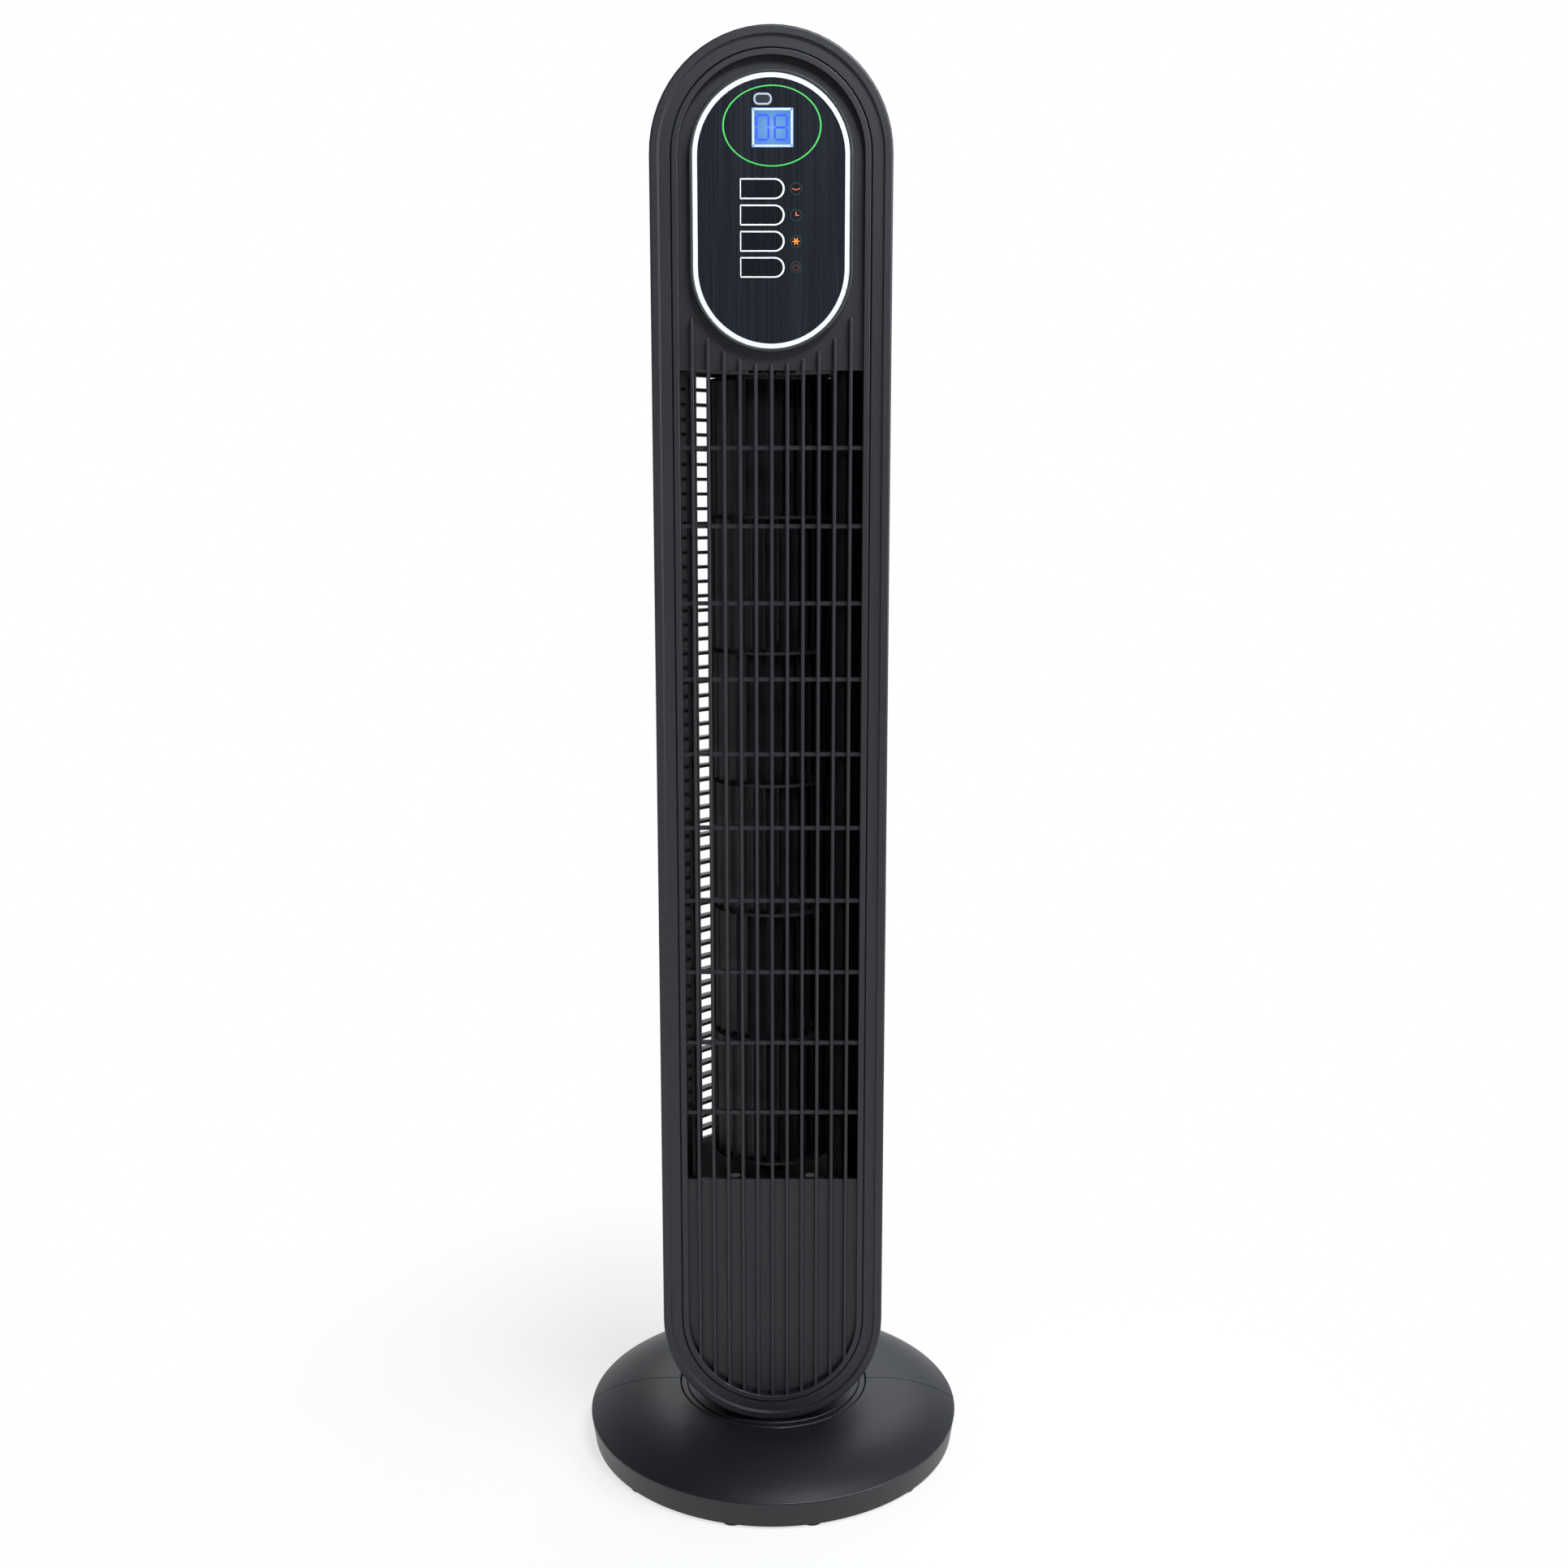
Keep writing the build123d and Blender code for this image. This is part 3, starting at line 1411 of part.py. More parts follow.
switch_bore = stem_radius + slide_gap
stem_side = button_side - stem_offset
with BuildPart() as key_switches:
    with BuildSketch(facing(board_front)):
        for index in range(button_count):
            with Locations((stem_side, button_level(index))):
                Rectangle(switch_size, switch_size)
    extrude(amount=switch_height)
    with BuildSketch(facing(board_front + switch_height)):
        for index in range(button_count):
            with Locations((stem_side, button_level(index))):
                Circle(switch_bore)
    extrude(amount=-stem_entry - button_travel - slide_gap, mode=Mode.SUBTRACT)
finish(key_switches, "key_switches")

with BuildPart() as circuit_board:
    with BuildSketch(facing(board_back)):
        stadium(board_radius, panel_low, panel_high)
        with board_screw_places():
            Circle(screw_radius + loose_fit, mode=Mode.SUBTRACT)
    extrude(amount=board_thickness)
finish(circuit_board, "circuit_board")

with BuildPart() as board_screws:
    with BuildSketch(facing(board_back)):
        with board_screw_places():
            Circle(screw_head_radius)
    extrude(amount=-screw_head)
    with BuildSketch(facing(board_back)):
        with board_screw_places():
            Circle(screw_radius)
    extrude(amount=board_thickness + board_screw_grip)
finish(board_screws, "board_screws")

with BuildPart() as buzzer:
    with BuildSketch(facing(board_back)):
        with Locations((-lamp_side, display_level)):
            Circle(buzzer_radius)
            Circle(buzzer_hole, mode=Mode.SUBTRACT)
    extrude(amount=-buzzer_height)
finish(buzzer, "buzzer")

key_back = floor_front - slide_gap - button_flange_thickness
stem_end = board_front + switch_height - stem_entry


def make_key(index):
    """One key: its cap, the flange that keeps it in the tray and the stem to its switch."""
    with BuildPart() as key:
        with BuildSketch(facing(key_back)):
            with Locations((0, button_level(index))):
                add(button_shape(button_width + 2 * button_flange, button_height + 2 * button_flange))
        extrude(amount=button_flange_thickness)
        with BuildSketch(facing(key_back)):
            with Locations((0, button_level(index))):
                add(button_shape(button_width, button_height))
        extrude(amount=film_front + button_proud - key_back)
        fillet(key.faces().sort_by(Axis.Y)[0].edges(), button_round)
        with BuildSketch(facing(stem_end)):
            with Locations((stem_side, button_level(index))):
                Circle(stem_radius)
        extrude(amount=key_back - stem_end)
    return key


key_names = ("swing_key", "timer_key", "speed_key", "power_key")
for index, name in enumerate(key_names):
    finish(make_key(index), name)
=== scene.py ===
# %% [markdown]
# A tower fan is a tall plastic column on a round two-part foot. This notebook
# dresses the finished engineering model: every shell, rib and wheel arrives
# already in its place, in metres, with the floor at z = 0 and the front
# towards -Y. What is left to do is what a finisher does: grain, gloss, print
# and light.

# %% Load the frame
import bmesh
import bpy
from math import cos, pi, radians, sin
from mathutils import Matrix, Vector


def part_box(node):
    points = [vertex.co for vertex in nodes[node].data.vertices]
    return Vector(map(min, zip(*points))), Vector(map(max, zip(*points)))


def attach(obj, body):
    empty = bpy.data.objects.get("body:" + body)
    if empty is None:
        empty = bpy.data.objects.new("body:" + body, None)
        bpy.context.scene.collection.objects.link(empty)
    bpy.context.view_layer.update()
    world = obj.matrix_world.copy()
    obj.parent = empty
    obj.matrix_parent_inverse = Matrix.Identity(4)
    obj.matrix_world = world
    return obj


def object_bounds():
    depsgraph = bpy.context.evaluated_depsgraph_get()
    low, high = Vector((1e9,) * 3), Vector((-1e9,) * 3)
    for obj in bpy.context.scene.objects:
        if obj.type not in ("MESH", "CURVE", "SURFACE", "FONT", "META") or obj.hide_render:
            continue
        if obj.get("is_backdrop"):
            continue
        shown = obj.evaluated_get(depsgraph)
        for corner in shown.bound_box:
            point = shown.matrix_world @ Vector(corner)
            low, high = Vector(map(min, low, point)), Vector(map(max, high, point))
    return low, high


milli = 0.001

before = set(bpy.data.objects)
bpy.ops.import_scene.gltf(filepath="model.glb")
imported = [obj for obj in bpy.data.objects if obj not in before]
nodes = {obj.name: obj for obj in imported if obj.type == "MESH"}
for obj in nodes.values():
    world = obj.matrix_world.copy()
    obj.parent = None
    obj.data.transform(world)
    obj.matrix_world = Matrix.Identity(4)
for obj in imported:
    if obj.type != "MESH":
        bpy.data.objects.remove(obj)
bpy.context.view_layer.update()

# %% [markdown]
# The camera stands at the height of the fan's chest, about ninety-six
# centimetres away, and looks slightly down. So near a view makes the foot look
# smaller than its plan would. The aim is written as a height and a pitch,
# which is how a tripod is set, and not as a target object.

# %% Camera
eye = Vector((0.0066, -0.9576, 0.5644))
pitch = radians(9.73)
lens = 38.66

view = bpy.data.cameras.new("view")
view.lens = lens
view.sensor_width = 36
tripod = bpy.data.objects.new("view", view)
tripod.location = eye
tripod.rotation_euler = (pi / 2 - pitch, 0, 0)
bpy.context.scene.collection.objects.link(tripod)
bpy.context.scene.camera = tripod
bpy.context.scene.view_settings.view_transform = "Standard"
print("camera at", tuple(round(part, 3) for part in eye))

# %% [markdown]
# Materials are node trees, and node trees are tedious to wire by hand. Two
# small classes make them readable. A Signal is a value that travels between
# nodes, and adding or multiplying Signals adds the Math nodes. A Finish is one
# material: its node method makes any other node from its type, its settings
# and what its sockets get.

# %% Signals and finishes
class Signal:
    """A value on its way between nodes. Its sums and products are Math nodes."""

    def __init__(self, finish, socket):
        self.finish = finish
        self.socket = socket

    def _math(self, operation, first, second):
        return self.finish.node("ShaderNodeMath", {"operation": operation}, {0: first, 1: second})

    def __add__(self, other):
        return self._math("ADD", self, other)

    __radd__ = __add__

    def __sub__(self, other):
        return self._math("SUBTRACT", self, other)

    def __rsub__(self, other):
        return self._math("SUBTRACT", other, self)

    def __mul__(self, other):
        return self._math("MULTIPLY", self, other)

    __rmul__ = __mul__

    def __gt__(self, other):
        return self._math("GREATER_THAN", self, other)

    def most(self, other):
        """The larger of two."""
        return self._math("MAXIMUM", self, other)


class Finish:
    """One material, built round its Principled shader."""

    def __init__(self, name, **constants):
        self.material = bpy.data.materials.new(name)
        self.material.use_nodes = True
        self.tree = self.material.node_tree
        self.shader = self.tree.nodes["Principled BSDF"]
        for socket, value in constants.items():
            self.shader.inputs[socket.replace("_", " ")].default_value = value

    def node(self, kind, settings, inputs, output=0):
        """Any node: its settings go first, then values or links into its sockets."""
        made = self.tree.nodes.new(kind)
        for setting, value in settings.items():
            setattr(made, setting, value)
        for socket, value in inputs.items():
            self.feed(made.inputs[socket], value)
        return Signal(self, made.outputs[output])

    def feed(self, socket, value):
        if isinstance(value, Signal):
            self.tree.links.new(value.socket, socket)
        else:
            socket.default_value = value

    def shade(self, **inputs):
        """Feeds the Principled shader's own sockets."""
        for socket, value in inputs.items():
            self.feed(self.shader.inputs[socket.replace("_", " ")], value)

    def place(self, stretch=(1, 1, 1)):
        """The place on the object, in metres."""
        spot = self.node("ShaderNodeTexCoord", {}, {}, "Object")
        return self.node("ShaderNodeMapping", {}, {"Vector": spot, "Scale": stretch})

    def noise(self, size, detail, stretch=(1, 1, 1)):
        """Noise with grains of a size in metres, drawn out along an axis where stretch is small."""
        return self.node(
            "ShaderNodeTexNoise",
            {},
            {"Vector": self.place(stretch), "Scale": 1 / size, "Detail": detail, "Roughness": 0.5},
        )

    def ramp(self, value, start, end):
        """Nought up to the start, one from the end on, and straight between."""
        return self.node("ShaderNodeMapRange", {}, {0: value, 1: start, 2: end, 3: 0.0, 4: 1.0})

    def blend(self, share, first, second):
        return self.node(
            "ShaderNodeMix",
            {"data_type": "RGBA"},
            {0: share, 6: first, 7: second},
            2,
        )

    def bump(self, height, depth, strength):
        return self.node(
            "ShaderNodeBump",
            {},
            {"Height": height, "Distance": depth, "Strength": strength},
        )


def tone(red, green, blue):
    """A colour as a screen shows it, turned to the linear light that shaders use."""
    linear = []
    for part in (red, green, blue):
        if part <= 10:
            linear.append(part / 255 / 12.92)
        else:
            linear.append(((part / 255 + 0.055) / 1.055) ** 2.4)
    return (*linear, 1.0)


def shade_of(colour, factor, lift=0.0):
    """The same colour, darker or paler by a factor."""
    return tuple(factor * part + lift for part in colour[:3]) + (1.0,)


def dress(finish, *names):
    """Gives CAD nodes a finish through their own material slots."""
    for name in names:
        mesh = nodes[name].data
        if not mesh.materials:
            mesh.materials.append(finish.material)
        for index in range(len(mesh.materials)):
            mesh.materials[index] = finish.material


print("material helpers ready")

# %% [markdown]
# The shells are moulded ABS in charcoal. A fine spark-eroded grain breaks up
# the gloss, the flow of the melt leaves the tone and the gloss a little
# uneven over a hand's breadth, and handling leaves a few soft hairline
# scuffs. Grain goes to bump and roughness, the other two go to colour and
# roughness. The frame and its ribs are mixed a shade paler than the base, the
# neck and the handle. The decks above and below the wheel get a painted
# shade: they are coloured near black with hardly any shine, standing in for
# the shade deep in the air path, where little light reaches.

# %% Moulded plastics
def moulded(name, colour, gloss, scuffs=0.05, shine=0.5):
    grain, depth = 0.00045, 0.00002
    scuff_start, scuff_full = 0.66, 0.8
    finish = Finish(name, IOR=1.5, Specular_IOR_Level=shine)
    cloud = finish.noise(0.07, 3)
    fine = finish.noise(grain, 2)
    hair = finish.noise(0.006, 2, (1.0, 1.0, 0.05))
    scuff = finish.ramp(hair, scuff_start, scuff_full)
    body = finish.blend(cloud, shade_of(colour, 0.88), shade_of(colour, 1.12, 0.001))
    worn = shade_of(colour, 1.6, 0.006)
    finish.shade(
        Base_Color=finish.blend(scuff * scuffs * 4.0, body, worn),
        Roughness=gloss + 0.10 * (cloud - 0.5) + 0.16 * (fine - 0.5) + scuffs * scuff,
        Normal=finish.bump(fine, depth, 0.6),
    )
    return finish


shell = moulded("charcoal_shell", tone(12, 13, 18), 0.42)
frame_skin = moulded("charcoal_frame", tone(21, 22, 28), 0.44, scuffs=0.04)
ribs = moulded("charcoal_ribs", tone(21, 22, 28), 0.44, scuffs=0.02)
wheel = moulded("wheel_plastic", tone(22, 23, 26), 0.36, scuffs=0.0)
inner = moulded("inner_plastic", tone(22, 23, 25), 0.50, scuffs=0.0)
# Painted shade: the two bulkheads are coloured near black, with little shine, for the shade deep inside
# the column.
painted_shade_black = moulded("bulkhead_painted_shade", tone(9, 9, 10), 0.75, scuffs=0.0, shine=0.2)
dress(frame_skin, "front_frame", "rear_housing")
dress(shell, "base_front_half", "base_rear_half", "neck", "carry_handle", "turntable_disc")
dress(ribs, "front_grille", "rear_grille")
dress(wheel, "impeller")
dress(inner, "column_foot", "guide_left", "guide_right", "panel_tray")
dress(painted_shade_black, "lower_bulkhead", "upper_bulkhead")
print("moulded plastics done")

# %% [markdown]
# The panel is a printed polyester film, laid over a black tray. Its gloss is
# high and its back is brushed from top to bottom, so fine lines show in it
# when light crosses them. Two noises stretched along Z draw those lines, one
# fine and one broad. Its shine is set low, since a lamp to one side turns the
# film grey.

# %% Panel film and keys
def brushed_film(name, colour, gloss):
    dark_streak, pale_streak = 0.38, 0.66
    finish = Finish(name, IOR=1.45, Specular_IOR_Level=0.28)
    fine = finish.noise(0.0004, 2, (1.0, 1.0, 0.004))
    broad = finish.noise(0.0022, 2, (1.0, 1.0, 0.02))
    streak = 0.7 * fine + 0.3 * broad
    share = finish.ramp(streak, dark_streak, pale_streak)
    finish.shade(
        Base_Color=finish.blend(share, shade_of(colour, 0.80), shade_of(colour, 1.45)),
        Roughness=gloss + 0.12 * share,
        Normal=finish.bump(streak, 0.00001, 0.35),
    )
    return finish


film = brushed_film("panel_film", tone(23, 26, 33), 0.22)
key_face = brushed_film("key_face", tone(18, 20, 25), 0.20)
dress(film, "panel_film")
dress(key_face, "swing_key", "timer_key", "speed_key", "power_key")
print("film done")

# %% [markdown]
# The oval ring is a separate moulding in pearl white with a slight sheen. The
# two windows are tinted plastic: the larger one glows an even light blue from
# the display behind it, a little paler in the middle, and the small one is
# smoked so that only infrared passes.

# %% Ring, windows and lamps
pearl = Finish("pearl_white", IOR=1.5, Coat_Weight=0.3, Coat_Roughness=0.15)
sheen = pearl.noise(0.0012, 2, (1.0, 1.0, 0.2))
pearl.shade(
    Base_Color=pearl.blend(sheen, tone(206, 211, 219), tone(220, 224, 230)),
    Roughness=0.30 + 0.12 * sheen,
    Normal=pearl.bump(sheen, 0.00001, 0.3),
)
dress(pearl, "panel_ring")

glass_low, glass_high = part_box("display_window")
glass_centre = (glass_low + glass_high) / 2
glow = Finish("display_glow", IOR=1.5, Roughness=0.18, Emission_Strength=0.85)
spot = glow.node("ShaderNodeTexCoord", {}, {}, "Object")
reach = glow.node(
    "ShaderNodeVectorMath",
    {"operation": "DISTANCE"},
    {0: spot, 1: tuple(glass_centre)},
    "Value",
)
grid = glow.noise(0.0011, 1)
pale_core, blue_edge, unevenness = 1.0 * milli, 12.5 * milli, 2.2 * milli
share = glow.ramp(reach + unevenness * grid, pale_core, blue_edge)
light = glow.blend(share, tone(120, 172, 226), tone(80, 134, 206))
black = (0, 0, 0, 1)
glow.shade(Base_Color=glow.blend(0.85, light, black), Emission_Color=light)
dress(glow, "display_window")

smoke = Finish("smoked_window", IOR=1.45, Coat_Weight=0.2, Coat_Roughness=0.08)
haze = smoke.noise(0.002, 2)
smoke.shade(Base_Color=smoke.blend(haze, tone(40, 45, 52), tone(46, 51, 59)), Roughness=0.2 + 0.1 * haze)
dress(smoke, "receiver_window")
dress(brushed_film("lamp_cover", tone(21, 25, 30), 0.22), "lamp_lenses")
print("display centre at", tuple(round(part, 4) for part in glass_centre))

# %% [markdown]
# Inside sit metal and electrical parts. They are seen only through the slits
# and in the bare frame, yet each is finished as what it is: turned steel with
# fine rings, zinc plate with its faint bloom, stacked laminations, enamelled
# winding wire, sintered bronze, green board, black rubber and white acetal.

# %% Metals and small parts
def metal(name, colour, gloss, stretch):
    spread = 0.12
    finish = Finish(name, Metallic=1.0)
    lines = finish.noise(0.0005, 2, stretch)
    bloom = finish.noise(0.012, 3)
    finish.shade(
        Base_Color=finish.blend(bloom, shade_of(colour, 1 - spread), colour),
        Roughness=gloss + 0.14 * lines + 0.08 * bloom,
        Normal=finish.bump(lines, 0.00001, 0.4),
    )
    return finish


def stacked(name, first, second, pitch, gloss, metallic):
    """Thin layers of two colours, one pair to each pitch of height."""
    wave_radians = 20  # what a wave texture turns through over a unit of scaled length
    finish = Finish(name, Metallic=metallic)
    bands = finish.node(
        "ShaderNodeTexWave",
        {"bands_direction": "Z", "wave_profile": "SIN"},
        {
            "Vector": finish.place(),
            "Scale": 2 * pi / (pitch * wave_radians),
            "Distortion": 0.4,
            "Detail": 1.0,
        },
        "Fac",
    )
    finish.shade(
        Base_Color=finish.blend(bands, first, second),
        Roughness=gloss + 0.1 * bands,
        Normal=finish.bump(bands, 0.0001, 0.7),
    )
    return finish


def plain(name, first, second, size, gloss, depth):
    finish = Finish(name, IOR=1.5)
    cloud = finish.noise(size, 3)
    fine = finish.noise(0.0004, 2)
    finish.shade(
        Base_Color=finish.blend(cloud, first, second),
        Roughness=gloss + 0.12 * (cloud - 0.5) + 0.1 * (fine - 0.5),
        Normal=finish.bump(fine, depth, 0.6),
    )
    return finish


dress(
    metal("turned_steel", tone(196, 197, 199), 0.22, (1, 1, 8)),
    "stub_shaft", "motor_shaft", "pinion_shaft",
)
dress(
    metal("zinc_plate", tone(205, 206, 200), 0.28, (1, 1, 1)),
    "neck_screws", "gear_screws", "foot_screws", "flange_screws", "swing_motor_screws",
    "case_screws", "motor_screws", "board_screws",
)
dress(
    metal("pressed_case", tone(190, 191, 193), 0.34, (1, 1, 0.3)),
    "swing_motor", "motor_top_shell", "motor_bottom_shell",
)
dress(metal("sintered_bronze", tone(176, 138, 84), 0.42, (1, 1, 1)), "top_bearing", "motor_bearings")
dress(
    stacked("laminations", tone(92, 94, 98), tone(128, 130, 134), 0.0010, 0.4, 0.9),
    "stator", "motor_rotor",
)
dress(stacked("winding_wire", tone(120, 62, 30), tone(190, 108, 56), 0.0012, 0.28, 0.6), "windings")
dress(
    plain("black_rubber", tone(24, 24, 25), tone(32, 32, 33), 0.01, 0.75, 0.00003),
    "base_feet", "cord_bush", "bearing_rubber",
)
dress(
    plain("white_acetal", tone(226, 223, 214), tone(236, 234, 227), 0.02, 0.4, 0.00001),
    "slide_ring", "swing_gear", "swing_pinion", "lock_nut",
)
dress(plain("solder_mask", tone(26, 92, 50), tone(34, 112, 62), 0.004, 0.3, 0.00001), "circuit_board")
dress(
    plain("black_part", tone(26, 27, 29), tone(36, 37, 40), 0.01, 0.35, 0.00001),
    "display_module", "receiver", "key_switches", "buzzer",
)
dress(plain("amber_lamp", tone(222, 128, 46), tone(240, 160, 70), 0.004, 0.25, 0.00001), "lamps")
print("metals and small parts done")

# %% [markdown]
# The print on the film and keys has a body: it stands between five hundredths
# and a tenth of a millimetre proud, so that its edges catch light. Every mark
# is a flat plate cut from a grid or a strip swept round a centre, then given
# its thickness, turned to face the front and set on the panel.

# %% Shapes for print
thick_print, key_print, thin_print = 0.1 * milli, 0.06 * milli, 0.05 * milli


def flat_plate(width, height, left=0.0, right=0.0, steps=10):
    """A plate in the XY plane, its left and right corners rounded."""
    flat = bmesh.new()
    bmesh.ops.create_grid(flat, x_segments=1, y_segments=1, size=0.5)
    bmesh.ops.scale(flat, vec=(width, height, 1), verts=flat.verts)
    for side, radius in ((-1, left), (1, right)):
        corners = [vert for vert in flat.verts if vert.co.x * side > 0]
        if radius:
            bmesh.ops.bevel(
                flat, geom=corners, offset=radius, offset_type="OFFSET", affect="VERTICES",
                segments=steps, profile=0.5, material=-1,
            )
    return flat


def hollow(flat, line, lean=0.0):
    """Keeps only the border of a plate. A lean makes its right side thicker than its left."""
    middle = list(flat.faces)
    bmesh.ops.inset_region(flat, faces=middle, thickness=line, use_boundary=True, use_even_offset=True)
    inside = list({corner for face in middle for corner in face.verts})
    bmesh.ops.translate(flat, vec=(-lean, 0, 0), verts=inside)
    bmesh.ops.delete(flat, geom=middle, context="FACES")
    return flat


def sweep(inner, outer, start, turn, steps):
    """A flat strip between two radii, from a start angle through a turn."""
    full_turn = abs(turn) > 6.28
    flat = bmesh.new()
    ends = [flat.verts.new((radius, 0, 0)) for radius in (inner, outer)]
    edge = flat.edges.new(ends)
    bmesh.ops.rotate(flat, cent=(0, 0, 0), matrix=Matrix.Rotation(start, 3, "Z"), verts=ends)
    bmesh.ops.spin(
        flat, geom=ends + [edge], cent=(0, 0, 0), axis=(0, 0, 1), angle=turn, steps=steps,
        use_merge=full_turn,
    )
    return flat


def shifted(flat, across, up, angle=0.0):
    """Turns a flat mark round its centre, then moves it."""
    bmesh.ops.rotate(flat, cent=(0, 0, 0), matrix=Matrix.Rotation(angle, 3, "Z"), verts=flat.verts)
    bmesh.ops.translate(flat, vec=(across, up, 0), verts=flat.verts)
    return flat


def joined(*flats):
    """Puts several flat marks into the first one's mesh."""
    whole = flats[0]
    for other in flats[1:]:
        carrier = bpy.data.meshes.new("carrier")
        other.to_mesh(carrier)
        whole.from_mesh(carrier)
        other.free()
        bpy.data.meshes.remove(carrier)
    return whole


def set_on_panel(flat, name, finish, body, centre, front, thickness):
    """Thickens a flat mark, turns it to face the front and sets it at its place."""
    bmesh.ops.remove_doubles(flat, verts=flat.verts, dist=0.001 * milli)
    grown = bmesh.ops.extrude_face_region(flat, geom=flat.faces[:], use_keep_orig=True)
    risen = [item for item in grown["geom"] if isinstance(item, bmesh.types.BMVert)]
    bmesh.ops.translate(flat, vec=(0, 0, thickness), verts=risen)
    bmesh.ops.rotate(flat, cent=(0, 0, 0), matrix=Matrix.Rotation(pi / 2, 3, "X"), verts=flat.verts)
    bmesh.ops.translate(flat, vec=(centre[0], front, centre[1]), verts=flat.verts)
    bmesh.ops.recalc_face_normals(flat, faces=flat.faces)
    mesh = bpy.data.meshes.new(name)
    flat.to_mesh(mesh)
    flat.free()
    mesh.materials.append(finish.material)
    piece = bpy.data.objects.new(name, mesh)
    bpy.context.scene.collection.objects.link(piece)
    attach(piece, body)


def ink(name, colour, glow=0.0):
    finish = Finish(name, IOR=1.5, Roughness=0.42, Emission_Strength=glow)
    wear = finish.noise(0.0009, 2)
    coat = finish.blend(wear, shade_of(colour, 0.86), colour)
    finish.shade(
        Base_Color=coat,
        Emission_Color=coat,
        Normal=finish.bump(wear, 0.00001, 0.3),
    )
    return finish


white_ink = ink("white_ink", tone(236, 239, 241))
pale_ink = ink("pale_ink", tone(190, 206, 224))
grey_ink = ink("grey_ink", tone(164, 174, 186))
green_ink = ink("green_ink", tone(74, 196, 92))
dim_green_ink = ink("dim_green_ink", tone(52, 78, 70))
print("print shapes ready")

# %% [markdown]
# Marks round the display: a green ellipse round the whole of it, a pale square
# frame on the window's edge, and a grey outline of a stadium round the
# infrared window. The digits are lit bars with small gaps between them, as
# every seven-bar display has, and they read nought and eight.

# %% Display marks
film_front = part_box("panel_film")[0].y
display_spot = (glass_centre.x, glass_centre.z)
receiver_low, receiver_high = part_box("receiver_window")
oval_left, oval_up = 0.3 * milli, 0.8 * milli
oval_spot = (glass_centre.x - oval_left, glass_centre.z + oval_up)
receiver_spot = ((receiver_low.x + receiver_high.x) / 2, (receiver_low.z + receiver_high.z) / 2)

oval_inner, oval_outer = 24.7 * milli, 25.45 * milli
oval_squash = 19.7 / 25.1
oval = sweep(oval_inner, oval_outer, 0, 2 * pi, 96)
bmesh.ops.scale(oval, vec=(1, oval_squash, 1), verts=oval.verts)
set_on_panel(oval, "green_oval", green_ink, "column", oval_spot, film_front, thick_print)

square_width, square_height = 21.0 * milli, 19.0 * milli
square_corner, square_line = 0.3 * milli, 1.1 * milli
square = hollow(flat_plate(square_width, square_height, square_corner, square_corner, 3), square_line)
set_on_panel(
    square, "display_border", pale_ink, "column", display_spot, film_front, thick_print,
)

pill_width, pill_height = 9.4 * milli, 5.9 * milli
pill_corner, pill_line = 2.7 * milli, 0.95 * milli
pill = hollow(flat_plate(pill_width, pill_height, pill_corner, pill_corner), pill_line)
set_on_panel(
    pill, "receiver_border", grey_ink, "column", receiver_spot, receiver_low.y, thick_print,
)

segment_ink = ink("segment_light", tone(40, 66, 212), 0.5)
glass_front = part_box("display_window")[0].y
digit_width, digit_height, bar_width = 6.2 * milli, 12.0 * milli, 1.1 * milli
bar_gap = 0.35 * milli
left_digit, right_digit = -5.2 * milli, 4.3 * milli
bar_places = {
    "top": (0, digit_height / 2, 0), "middle": (0, 0, 0), "bottom": (0, -digit_height / 2, 0),
    "upper_left": (-digit_width / 2, digit_height / 4, pi / 2),
    "upper_right": (digit_width / 2, digit_height / 4, pi / 2),
    "lower_left": (-digit_width / 2, -digit_height / 4, pi / 2),
    "lower_right": (digit_width / 2, -digit_height / 4, pi / 2),
}


def digit(lit, across):
    """The lit bars of one digit, each with both ends pointed."""
    bars = []
    for place in lit:
        side, up, angle = bar_places[place]
        length = (digit_height / 2 if angle else digit_width) - bar_gap
        bar = flat_plate(length, bar_width, bar_width / 2, bar_width / 2, 1)
        bars.append(shifted(bar, across + side, up, angle))
    return joined(*bars)


around = ["top", "bottom", "upper_left", "upper_right", "lower_left", "lower_right"]
digits = joined(digit(around, left_digit), digit(around + ["middle"], right_digit))
set_on_panel(
    digits, "display_digits", segment_ink, "column", display_spot, glass_front, thin_print,
)
print("display marks done")

# %% [markdown]
# Each key carries a white line that follows its own outline: square at the
# left, half round at the right. The line rides on the key, so it dips with it
# when the key is pressed.

# %% Key outlines
def key_face_box(key):
    """Corners of a key's flat front, grown a little way onto its rounded edge."""
    corners = [vert.co for vert in nodes[key].data.vertices]
    foremost = min(corner.y for corner in corners)
    flat_depth, grow = 0.02 * milli, 0.2 * milli
    front = [corner for corner in corners if corner.y < foremost + flat_depth]
    across = [corner.x for corner in front]
    upwards = [corner.z for corner in front]
    low = Vector((min(across) - grow, foremost, min(upwards) - grow))
    high = Vector((max(across) + grow, foremost, max(upwards) + grow))
    return low, high


key_line, key_lean, key_corner = 0.72 * milli, 0.2 * milli, 0.3 * milli
short_of_round = 0.06 * milli
for key in ("swing_key", "timer_key", "speed_key", "power_key"):
    low, high = key_face_box(key)
    width, height = high.x - low.x, high.z - low.z
    plate = flat_plate(width, height, key_corner, height / 2 - short_of_round, 12)
    border = hollow(plate, key_line, key_lean)
    centre = ((low.x + high.x) / 2, (low.z + high.z) / 2)
    set_on_panel(border, key + "_border", white_ink, key, centre, low.y, key_print)
print("four key outlines")

# %% [markdown]
# Beside each key a round lamp shows a small sign, of the kind that any fan
# uses. They are drawn with thin strokes: an arc for the swing, two hands for
# the clock, six blades for the speed, and a broken ring with a bar for the
# power, which is nearly off.

# %% Lamp signs
pin_radius = 0.05 * milli


